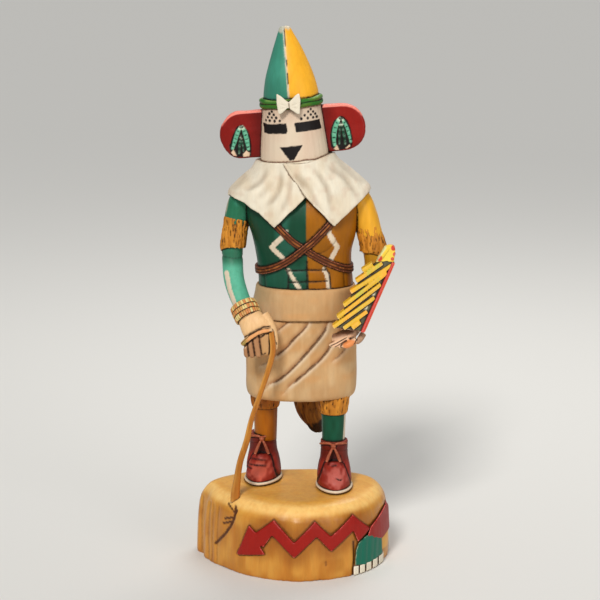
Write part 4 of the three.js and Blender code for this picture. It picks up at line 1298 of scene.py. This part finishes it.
def makeNearHand():
    fist = slab("fist", hands["fist"], hands["fistFront"], -20)
    soften(fist, 1.1)
    parts = [loft("palm", hands["palm"], sides=24, steps=4, follow=True), fist,
             loft("ridge", hands["ridge"], sides=14, steps=4, follow=True),
             loft("thumb", hands["thumb"], sides=16, steps=4, follow=True)]
    skin, flat = surface(merge(parts, "handNear"), "handNear", colours["skin"])
    facing = front(skin, 0.1)
    # four fingers side by side under the ridge of the knuckles
    low = inside(flat, [*hands["ridgeFoot"], (-13.9, 124), (-29.4, 124)])
    under = ramp(low, -0.2, 0.3) * facing
    edges = [gap[1][0] for gap in hands["gaps"]]
    fill(skin, under * 0.9, paint(170, 120, 82))
    right = np.clip((flat[:, 0] + 20) / 1.2, 0, 1)
    fill(skin, under * right * 0.7, paint(206, 160, 104))
    slant = flat[:, 0] + (flat[:, 1] - 125.4) * 0.17
    for left, stop in zip([-29.4, *edges[:-1]], edges):
        middle, half = (left + stop) / 2, (stop - left) / 2
        bulge = np.clip(1 - ((slant - middle) / half) ** 2, 0, 1)
        skin["lift"] += bulge ** 0.6 * 0.45 * under
    between = inside(flat, [*hands["ridgeFoot"], *hands["ridgeTop"][::-1]])
    fill(skin, ramp(between, -0.2, 0.4) * facing * 0.85, paint(232, 160, 98))
    fill(skin, ramp(between, 0, 0.5) * facing * 0.6 * ramp(-flat[:, 0], 26, 29), colours["olive"] * 1.4)
    for line in hands["gaps"]:
        cut(skin, flat, line, 0.85, 0.9, 1.0, facing=facing)
    cut(skin, flat, hands["ridgeTop"], 1.0, 0.6, 1.0, facing=facing)
    cut(skin, flat, hands["ridgeFoot"], 0.85, 0.7, 1.0, facing=facing)
    cut(skin, flat, [(-19.6, 136.6), (-17.6, 138.2)], 1.2, 0.5, 0.9, facing=facing)
    cut(skin, flat, [(-18.6, 126.6), (-17, 127.6)], 1.2, 0.4, 0.8, facing=facing)
    cut(skin, flat, [(-10.9, 133.2), (-10.6, 132.2)], 0.9, 0.25, 0.8, facing=1)
    finish(skin, "skinPaint")


def makeFarHand():
    parts = [loft("palm", hands["farPalm"], sides=20, steps=4, follow=True)]
    parts += [loft("finger", line, sides=12, steps=4, follow=True)
              for line in hands["farFingers"]]
    skin, flat = surface(merge(parts, "handFar"), "handFar", paint(232, 186, 148))
    facing = front(skin, 0.2)
    knuckle = np.hypot((flat[:, 0] - 30.2) / 4.4, (flat[:, 1] - 132.6) / 2.6)
    fill(skin, ramp(-knuckle, -1.2, -0.8), paint(232, 146, 84))
    fill(skin, ramp(flat[:, 0], 32.6, 34), paint(176, 138, 108))
    shadow = ramp(flat[:, 1] - 0.25 * (flat[:, 0] - 24), 135.2, 137.4) * ramp(-flat[:, 0], -33.5, -31)
    fill(skin, shadow * 0.8, colours["brown"] * 0.6)
    for line in hands["farLines"]:
        cut(skin, flat, line, 0.7, 0.4, 1.0, facing=facing)
    finish(skin, "skinPaint")


makeCuff()
makeNearHand()
makeFarHand()


# Legs, knee fur, boots and the fox pelt

legs = {
    "near": {"name": "Near", "x": -17.7, "y": 15, "toe": -11, "boot": (-19.2, 14.4),
             "ink": paint(152, 82, 0), "shade": paint(172, 100, 6), "fur": paint(176, 102, 26),
             "vamp": paint(206, 96, 74)},
    "far": {"name": "Far", "x": 21.4, "y": 1.5, "toe": 3, "boot": (21.8, -1.4),
            "ink": paint(10, 66, 42), "shade": paint(20, 90, 64), "fur": colours["fur"],
            "vamp": paint(190, 96, 84)},
}
# rings of the legs: how far back, the height, half width and half depth
limb = {
    "shin": [(1, 66, 6.4, 6.6), (0, 68.9, 6.5, 6.8), (0, 86, 7, 7.4), (0, 94, 7, 7.4)],
    "fur": [(0, 85.9, 6.9, 7.3), (0, 86.4, 8.1, 8.5), (0, 93, 9.2, 9.6), (0, 101, 9.6, 10)],
}
boots = {
    "sole": 42.8, "egg": 0.16,
    "plate": [(0, 0.05, 10.4, 17), (0, 1, 10.7, 17.3), (0, 1.9, 10.3, 16.9)],
    "rings": [(0.1, 1.4, 9.8, 16.3), (0.2, 3, 10, 16.4), (0.6, 6, 9.9, 15.8), (2.4, 10, 9.4, 13.6),
              (4.4, 14, 8.6, 10.8), (4.6, 18, 7.9, 9), (3.4, 23, 7.8, 8.6), (2.8, 25.4, 7.9, 8.6),
              (2.6, 27.2, 7.7, 8.3)],
    "throat": [(-0.6, 24.6), (-3.2, 18.4), (-3.4, 15.6), (2.4, 15.8), (2.6, 18.2)],
    "vamp": [(-5.8, 15.2), (-3.4, 16.4), (0, 16.9), (3, 16.2), (5.2, 15)],
    # seams: the line, how wide, deep and dark
    "seams": [([(5.2, 15.2), (7, 11), (8.8, 6), (9.6, 2)], 0.9, 0.5, 0.95),
              ([(-5.8, 15.2), (-7.6, 11), (-9.4, 6), (-10.4, 2)], 0.9, 0.5, 0.9),
              ([(-8, 21.4), (0, 22.4), (8, 21.2)], 0.8, 0.25, 0.5)],
    "flap": [(3.4, 19), (4.6, 16)], "rim": 25,
    "wrinkles": {"near": [[(-9, 12.6), (-2, 13.2), (5.6, 12.4)], [(-10.2, 9.8), (0, 10.6), (6.6, 9.6)],
                          [(-10, 8), (-3, 8.8)]],
                 "far": [[(-3, 13.6), (2, 14.2)], [(-1, 9), (2.6, 7.4), (5, 7.8)]]},
}
# the tie: a knot, and an end and a loop for each side
tie = {
    "x": -0.6,
    "knot": [(0, -6.2, 24, 1, 0.9), (0, -6.6, 25.4, 1.5, 1.3), (0, -6.2, 26.8, 1, 0.9)],
    "end": [(0, -6.8, 25.4, 0.55), (1.9, -7.2, 21.6, 0.8), (3.4, -7.9, 18, 0.95),
            (4, -8.4, 16.6, 0.7)],
    "loop": [(0, -6.6, 26, 0.5), (2.6, -5.4, 26.7, 0.7), (6.4, -2.4, 26, 0.75),
             (7.6, 0.4, 25, 0.55)],
}


def makeShin(side, leg):
    rings = [(leg["x"], leg["y"] + back, z, wide, deep) for back, z, wide, deep in limb["shin"]]
    piece = evenOut(loft("shin" + leg["name"], rings, sides=28, steps=4), "shin")
    skin = readSkin(piece, leg["ink"])
    flat = view(skin) - (leg["x"], 0)
    patch = noise(flat * np.array([0.4, 0.15]) + 40, 91)
    fill(skin, 0.5 * patch, leg["shade"])
    if side == "near":
        # painted shade down the right side of the near leg
        fill(skin, ramp(flat[:, 0], 1, 6.5) * 0.5, paint(118, 62, 12))
        fill(skin, ramp(-flat[:, 0], 6, 6.6) * ramp(-flat[:, 1], -77.5, -76) * 0.9, colours["cream"])
    else:
        stop = 5.8 - ramp(-flat[:, 1], -84, -68) * 0.7
        fill(skin, ramp(flat[:, 0] - stop, 0, 0.4) * 0.9, colours["cream"])
    finish(skin, "satinPaint")


def makeKneeFur(leg):
    rings = [(leg["x"], leg["y"] + back, z, wide, deep) for back, z, wide, deep in limb["fur"]]
    piece = evenOut(loft("kneeFur" + leg["name"], rings, sides=28, steps=4), "kneeFur")
    skin = readSkin(piece, leg["fur"])
    furStrokes(skin, rings, 190, 5, 92, 0.6)
    finish(skin, "furPaint")


def bootForm(name, leg, rings, sides, steps):
    bx, by = leg["boot"]
    rings = [(bx, by + back, boots["sole"] + rise, half, long) for back, rise, half, long in rings]
    return loft(name + leg["name"], rings, sides=sides, steps=steps, egg=boots["egg"],
                turn=leg["toe"])


def makeBoot(side, leg):
    plate = evenOut(bootForm("plate", leg, boots["plate"], 48, 2), "sole")
    finish(readSkin(plate, colours["cream"]), "clothPaint")

    piece = evenOut(bootForm("boot", leg, boots["rings"], 40, 4), "boot")
    skin = readSkin(piece, colours["boot"])
    turn = math.radians(leg["toe"])
    off = skin["points"] - (*leg["boot"], boots["sole"])
    ahead = -off[:, 1] * math.cos(turn) + off[:, 0] * math.sin(turn)
    flat = np.stack([off[:, 0] * math.cos(turn) + off[:, 1] * math.sin(turn), off[:, 2]], 1)
    facing = front(skin, 0.3)
    height = off[:, 2]
    fill(skin, ramp(height, 13.5, 18) * 0.8, colours["bootDark"])
    fill(skin, ramp(-ahead, -1, 4) * 0.75, colours["bootDark"])
    blot = noise(flat * np.array([0.35, 0.3]) + 15, 93)
    fill(skin, 0.4 * ramp(blot, 0.5, 0.85), paint(80, 16, 8))
    toe = np.hypot(flat[:, 0] / 6.4, (height - 8) / 5) + (noise(flat * 0.6 + 5, 94) - 0.5) * 0.8
    fill(skin, ramp(-toe, -1.35, -0.5) * facing * 0.85, leg["vamp"])
    # the throat of the boot: a dark gap with a flap on each side, closed by a tie
    deep = ramp(inside(flat, boots["throat"]), -0.3, 0.5) * facing
    fill(skin, deep * 0.9, paint(54, 10, 8))
    skin["lift"] -= deep * 0.9
    cut(skin, flat, boots["vamp"], 1.0, 0.5, 0.95, step=-0.4, facing=facing)
    cut(skin, flat, boots["flap"], 0.8, 0.4, 0.8, facing=facing)
    for line, width, depth, washAndShade in boots["seams"]:
        cut(skin, flat, line, width, depth, washAndShade)
    for line in boots["wrinkles"][side]:
        cut(skin, flat, smoothSteps(line, 3), 1.1, 0.6, 0.75, step=0.35, facing=facing, taper=0.3)
    fill(skin, ramp(height, boots["rim"] + 0.3, boots["rim"] + 1) * 0.6, paint(150, 66, 48))
    skin["lift"] -= ramp(-np.abs(height - boots["rim"]), -0.5, 0) * 0.35
    darken(skin, ramp(-np.abs(height - boots["rim"]), -0.45, 0) * 0.9)
    finish(skin, "leatherPaint")


def makeTie(leg):
    bx, by = leg["boot"]

    def run(part, sign=1):
        return [(bx + tie["x"] + sign * x, by + y, boots["sole"] + z, *size)
                for x, y, z, *size in tie[part]]

    cords = [loft("knot", run("knot"), sides=12)]
    for sign in (-1, 1):
        for part in ("end", "loop"):
            cords.append(loft(part, run(part, sign), sides=10, steps=4, follow=True))
    piece = evenOut(merge(cords, "tie" + leg["name"]), "tie")
    finish(readSkin(piece, paint(150, 74, 46)), "leatherPaint")


pelt = [(12.6, 30, 65.5, 1.6, 1.2), (12, 30, 67.5, 4, 2.8), (8.6, 30.6, 76, 7.6, 4),
        (6.4, 31.5, 88, 8.6, 4.4), (5.4, 31.6, 104, 7.4, 4.2), (5, 31, 128, 5.4, 3.8),
        (5, 30, 146, 4.4, 3.2)]


def makePelt():
    piece = evenOut(loft("foxPelt", pelt, sides=28, steps=5), "pelt")
    skin = readSkin(piece, paint(136, 82, 20))
    points = skin["points"]
    middle = np.interp(points[:, 2], [r[2] for r in pelt], [r[0] for r in pelt])
    flat = np.stack([np.arctan2(points[:, 0] - middle, 31 - points[:, 1]) * 7, points[:, 2]], 1)
    strokes = np.random.default_rng(95)
    for stroke in range(420):
        x, z = strokes.uniform(-22, 22), strokes.uniform(66, 146)
        run, slant = strokes.uniform(3, 8), strokes.uniform(-1, 1)
        cut(skin, flat, [(x, z - run / 2), (x + slant, z + run / 2)], strokes.uniform(0.6, 1.1),
            strokes.uniform(0.2, 0.6), strokes.uniform(0.1, 0.8), taper=0.3)
    light = noise(flat * np.array([0.9, 0.14]) + 11, 96)
    fill(skin, 0.45 * ramp(light, 0.45, 0.8), paint(190, 124, 40))
    fill(skin, 0.5 * ramp(-light, -0.4, -0.15), colours["furDark"])
    tip = ramp(points[:, 0] * 0.35 - points[:, 2] + (noise(flat * 0.6, 97) - 0.5) * 4, -69.5, -66.5)
    fill(skin, tip * 0.92, paint(34, 18, 8))
    finish(skin, "furPaint")


for side, leg in legs.items():
    makeShin(side, leg)
    makeKneeFur(leg)
    makeBoot(side, leg)
    makeTie(leg)
makePelt()


# Whip: one thin strip from the near fist to the rim of the plinth

whip = [(-13.7, -26.9, 141, 1, 0.8), (-13.8, -26.9, 139.5, 1.5, 1.1), (-12.8, -28, 129.3, 1.6, 1.1),
        (-15.6, -27.4, 117.6, 1.6, 1.1), (-20.3, -26.4, 103, 1.5, 1.1), (-25.1, -25, 88.2, 1.5, 1.1),
        (-27.6, -23.4, 76.3, 1.8, 1.1), (-31.6, -21, 62.8, 1.8, 1.1), (-33.4, -19.5, 51.7, 2.1, 1.1),
        (-34.4, -18.6, 44.2, 2.6, 1.1), (-34.7, -18.4, 38, 2.7, 1.1)]


def makeWhip():
    rings = [(*ring, 2.6) for ring in whip]
    form = loft("whipBlade", rings, sides=20, steps=5, follow=True)
    skin, flat = surface(form, "whip", paint(186, 120, 40))
    line = [(ring[0], ring[2]) for ring in smoothSteps(whip, 4)]
    side, along = lineField(flat, line)[1:]
    # painted highlight along one edge of the strip
    fill(skin, ramp(-side, 0.5, 1.2) * 0.55, paint(232, 176, 90))
    fill(skin, ramp(along, 0.5, 0.9) * 0.4, paint(146, 88, 24))
    # painted shade along the other edge
    fill(skin, ramp(side, 0.4, 1.3) * 0.55, paint(184, 106, 34))
    streaks = noise(np.stack([side * 0.8 + 5, along * 22], 1), 98)
    fill(skin, 0.45 * ramp(streaks, 0.5, 0.9), paint(170, 100, 30))
    cut(skin, flat, [(x + 0.1, z) for x, z in line[3:26]], 0.7, 0.18, 0.25)
    finish(skin, "whipStain", "whip_wood", "whip")


makeWhip()


# Bundle: a board that leans back on the far hand, with bars, a red strip and a cap

bundle = {
    "face": [(21, 142.5), (37.9, 140.2), (55.1, 175.9), (50.5, 177.2), (45, 176.2),
             (38.2, 171.4), (31.4, 160)],
    "edge": [(35.6, 140.6), (37.9, 140.2), (55.1, 175.9), (53.4, 176.6)],
    "cap": [(44.2, 176), (54.4, 175.4), (55.4, 182.8), (54.4, 184.8), (52, 185), (49.4, 184.2)],
    # rubbed corners of the cap: where and how big
    "spots": [(54.2, 183.6, 1.3), (55, 180.4, 1.1), (46.4, 178.4, 1.6), (53.6, 178, 0.9)],
    "thickness": 5, "grooves": 5, "pitch": 3.65, "first": 122, "slope": 0.6745, "slatWidth": 2.2,
    "leftEnds": [(31, 142.4), (26.2, 142.3), (20.4, 142.9), (22.8, 147.8), (26.3, 153.9),
                 (30.2, 160.9), (33.3, 166.5), (36.7, 172)],
    "rightEnds": [(35.6, 145.7), (39.4, 151.1), (43.6, 158.2), (47.1, 165), (50.6, 171),
                  (53.4, 174.9), (48, 176), (42.6, 175.4)],
}
bundlePlace = Matrix.Identity(4)
bundlePlace[1][2] = 0.47
bundlePlace[1][3] = -30 - 0.47 * 142


def makeBoard():
    board = slab("slatBoard", bundle["face"], 0, bundle["thickness"])
    board.data.transform(bundlePlace)
    skin, flat = surface(board, "board", paint(74, 72, 42))
    # small pale triangles fill the ends of the grooves beside the red strip
    for x, z in bundle["rightEnds"][:bundle["grooves"]]:
        wedge = [(x - 0.2, z + 0.8), (x + 0.7, z + 3.4), (x - 2.6, z + 1.4)]
        fill(skin, ramp(inside(flat, wedge), -0.2, 0.2), paint(206, 200, 168))
    below = ramp(-(flat[:, 1] + (flat[:, 0] - 19) * 0.145), -143.6, -143)
    fill(skin, below, paint(110, 20, 14))
    side = (skin["normals"][:, 0] > 0.5) * 1.0
    fill(skin, side * 0.9, colours["orange"])
    finish(skin, "slatPaint", "yellow_paint", "bundle")


def makeBars():
    bars = []
    for left, right in zip(bundle["leftEnds"], bundle["rightEnds"]):
        bar = slab("bar", ribbon([left, right], bundle["slatWidth"]), -0.9, bundle["thickness"] - 0.4)
        soften(bar, 0.35)
        bar.data.transform(bundlePlace)
        bars.append(bar)
    skin, flat = surface(merge(bars, "slats"), "bars", paint(224, 176, 40))
    row = (flat[:, 1] - bundle["slope"] * flat[:, 0] - bundle["first"]) / bundle["pitch"]
    tint = noise(np.stack([flat[:, 0] * 0.35 + np.round(row) * 7, row * 0.1], 1), 101)
    fill(skin, 0.7 * ramp(tint, 0.6, 0.9), paint(246, 168, 40))
    fill(skin, 0.45 * ramp(-tint, -0.3, -0.12), paint(170, 196, 70))
    finish(skin, "slatPaint", "yellow_paint", "bundle")


def makeStrip():
    strip = slab("edgeStrip", bundle["edge"], -1.25, 1)
    soften(strip, 0.3)
    strip.data.transform(bundlePlace)
    evenOut(strip, "strip")
    skin = readSkin(strip, paint(196, 52, 34))
    fill(skin, (skin["normals"][:, 0] > 0.5) * 0.8, colours["orange"])
    finish(skin, "redPaint", "yellow_paint", "bundle")


def makeEndCap():
    cap = slab("endCap", bundle["cap"], 0.2, bundle["thickness"] - 0.2)
    soften(cap, 0.6)
    cap.data.transform(bundlePlace)
    skin, flat = surface(cap, "endCap", paint(240, 202, 60))
    facing = front(skin, 0.3)
    for x, z, size in bundle["spots"]:
        far = np.hypot(flat[:, 0] - x, flat[:, 1] - z)
        fill(skin, ramp(-far, -size - 0.3, -size + 0.2), paint(206, 62, 40))
        skin["lift"] += ramp(-far, -size, 0) * 0.4 * facing
    pale = ramp(lineField(flat, [(44.6, 177.4), (49.6, 184)])[0] * -1, -1.2, -0.4)
    fill(skin, pale * 0.8, paint(206, 216, 160))
    cut(skin, flat, [(48, 178), (52, 183)], 0.7, 0.3, 0.5, facing=facing)
    finish(skin, "slatPaint", "yellow_paint", "bundle")


makeBoard()
makeBars()
makeStrip()
makeEndCap()


# Wear, and the crease wash with its painted shade, read off the finished forms

# how far, and how many rays, look for a neighbour from each point of a form
contacts = {"reach": 2.6, "rays": 5, "upright": 0.45, "outward": 0.9, "off": 0.15}


def spread(values, ends, rounds):
    # evens values out along the edges of a mesh
    count = len(values)
    links = np.bincount(ends.ravel(), minlength=count).clip(1)
    for again in range(rounds):
        near = np.bincount(ends[:, 0], values[ends[:, 1]], count) \
            + np.bincount(ends[:, 1], values[ends[:, 0]], count)
        values = (values + near / links) / 2
    return values


def addWear(piece):
    # arrises are marked to be rubbed pale, and creases to hold the wash with painted shade
    mesh = piece.data
    ends = np.empty(len(mesh.edges) * 2, np.int32)
    mesh.edges.foreach_get("vertices", ends)
    ends = ends.reshape(-1, 2)
    points = readVectors(mesh.vertices, "co") / mm
    normals = readVectors(mesh.vertex_normals, "vector")
    way = points[ends[:, 1]] - points[ends[:, 0]]
    square = (way ** 2).sum(1).clip(1e-6)
    bend = np.bincount(ends[:, 0], (normals[ends[:, 0]] * way).sum(1) / square, len(points)) \
        - np.bincount(ends[:, 1], (normals[ends[:, 1]] * way).sum(1) / square, len(points))
    bend = spread(bend / np.bincount(ends.ravel(), minlength=len(points)).clip(1), ends, 3)
    washAndShade = np.empty(len(points), np.float32)
    mesh.attributes["washAndShade"].data.foreach_get("value", washAndShade)
    washAndShade = np.maximum(washAndShade, np.clip(bend * 1.6 - 0.12, 0, 0.8))
    edge = mesh.attributes.new("edge", "FLOAT", "POINT")
    edge.data.foreach_set("value", np.clip(-bend * 1.8 - 0.25, 0, 1).astype(np.float32))
    return washAndShade, points, normals, ends


def addContactShade():
    # where one form meets another, short rays find the corner, and it gets painted shade along with the
    # wash
    corners, faces, total = [], [], 0
    for entry in made.values():
        mesh = entry["piece"].data
        mesh.calc_loop_triangles()
        tris = np.empty(len(mesh.loop_triangles) * 3, np.int32)
        mesh.loop_triangles.foreach_get("vertices", tris)
        corners.append(readVectors(mesh.vertices, "co") / mm)
        faces.append(tris.reshape(-1, 3) + total)
        total += len(mesh.vertices)
    tree = bvhtree.BVHTree.FromPolygons(np.vstack(corners).tolist(), np.vstack(faces).tolist())
    turns = np.arange(contacts["rays"]) * math.tau / contacts["rays"]
    ways = [(math.cos(turn), math.sin(turn)) for turn in turns]
    for entry in made.values():
        washAndShade, points, normals, ends = addWear(entry["piece"])
        side = np.cross(normals, (0.36, 0.48, 0.8))
        side /= np.linalg.norm(side, axis=1)[:, None].clip(1e-6)
        other = np.cross(normals, side)
        hits = np.zeros(len(points))
        for along, across in ways:
            aim = normals * contacts["upright"] + (side * along + other * across) * contacts["outward"]
            starts = points + normals * contacts["off"]
            for i, (start, way) in enumerate(zip(starts.tolist(), aim.tolist())):
                far = tree.ray_cast(start, way, contacts["reach"])[3]
                if far is not None:
                    hits[i] += 1 - far / contacts["reach"]
        near = spread(hits / len(ways), ends, 1)
        washAndShade = np.maximum(washAndShade, np.clip(near * 2.6 - 0.1, 0, 1))
        entry["piece"].data.attributes["washAndShade"].data.foreach_set("value", washAndShade.astype(np.float32))


addContactShade()
print("wear and wash laid on")

# Handing over

for entry in made.values():
    piece = entry["piece"]
    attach(piece, "root")
    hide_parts(entry["node"])

# Floor, light and camera

studio = {
    "camera": (2.2, -1235, 428), "aim": (2.2, 0, 150), "lens": 134.5, "shift": 0.005,
    "floor": paint(222, 219, 212), "air": paint(226, 230, 236), "airStrength": 0.3,
    "sun": {"from": (-260, -900, 960), "angle": 14, "strength": 2.3},
    "lamps": [("fill", (700, -800, 420), 500, 2.6), ("rim", (150, 500, 800), 500, 3)],
}


def hang(data, place):
    # puts a light or the camera in its place, turned to the doll
    thing = bpy.data.objects.new(data.name, data)
    bpy.context.collection.objects.link(thing)
    thing.location = Vector(place) * mm
    aim = Vector(studio["aim"]) * mm - thing.location
    thing.rotation_euler = aim.to_track_quat("-Z", "Y").to_euler()
    return thing


def setStage():
    bpy.ops.object.select_all(action="DESELECT")
    bpy.ops.mesh.primitive_plane_add(size=16, location=(0, 0, 0))
    floor = bpy.context.object
    floor.name = "floor"
    material = bpy.data.materials.new("floorPaper")
    material.use_nodes = True
    shader = material.node_tree.nodes["Principled BSDF"]
    shader.inputs["Base Color"].default_value = rgba(studio["floor"])
    shader.inputs["Roughness"].default_value = 0.9
    floor.data.materials.append(material)
    world = bpy.data.worlds.new("air")
    world.use_nodes = True
    sky = world.node_tree.nodes["Background"]
    sky.inputs["Color"].default_value = rgba(studio["air"])
    sky.inputs["Strength"].default_value = studio["airStrength"]
    bpy.context.scene.world = world
    for name, place, size, power in studio["lamps"]:
        light = bpy.data.lights.new(name, "AREA")
        light.size = size * mm
        light.energy = power
        hang(light, place)
    sun = bpy.data.lights.new("key", "SUN")
    sun.angle = math.radians(studio["sun"]["angle"])
    sun.energy = studio["sun"]["strength"]
    hang(sun, studio["sun"]["from"])
    camera = bpy.data.cameras.new("camera")
    camera.lens = studio["lens"]
    camera.sensor_width = 36
    camera.shift_y = studio["shift"]
    camera.clip_start = 0.01
    bpy.context.scene.camera = hang(camera, studio["camera"])
    bpy.context.scene.view_settings.view_transform = "Standard"


setStage()
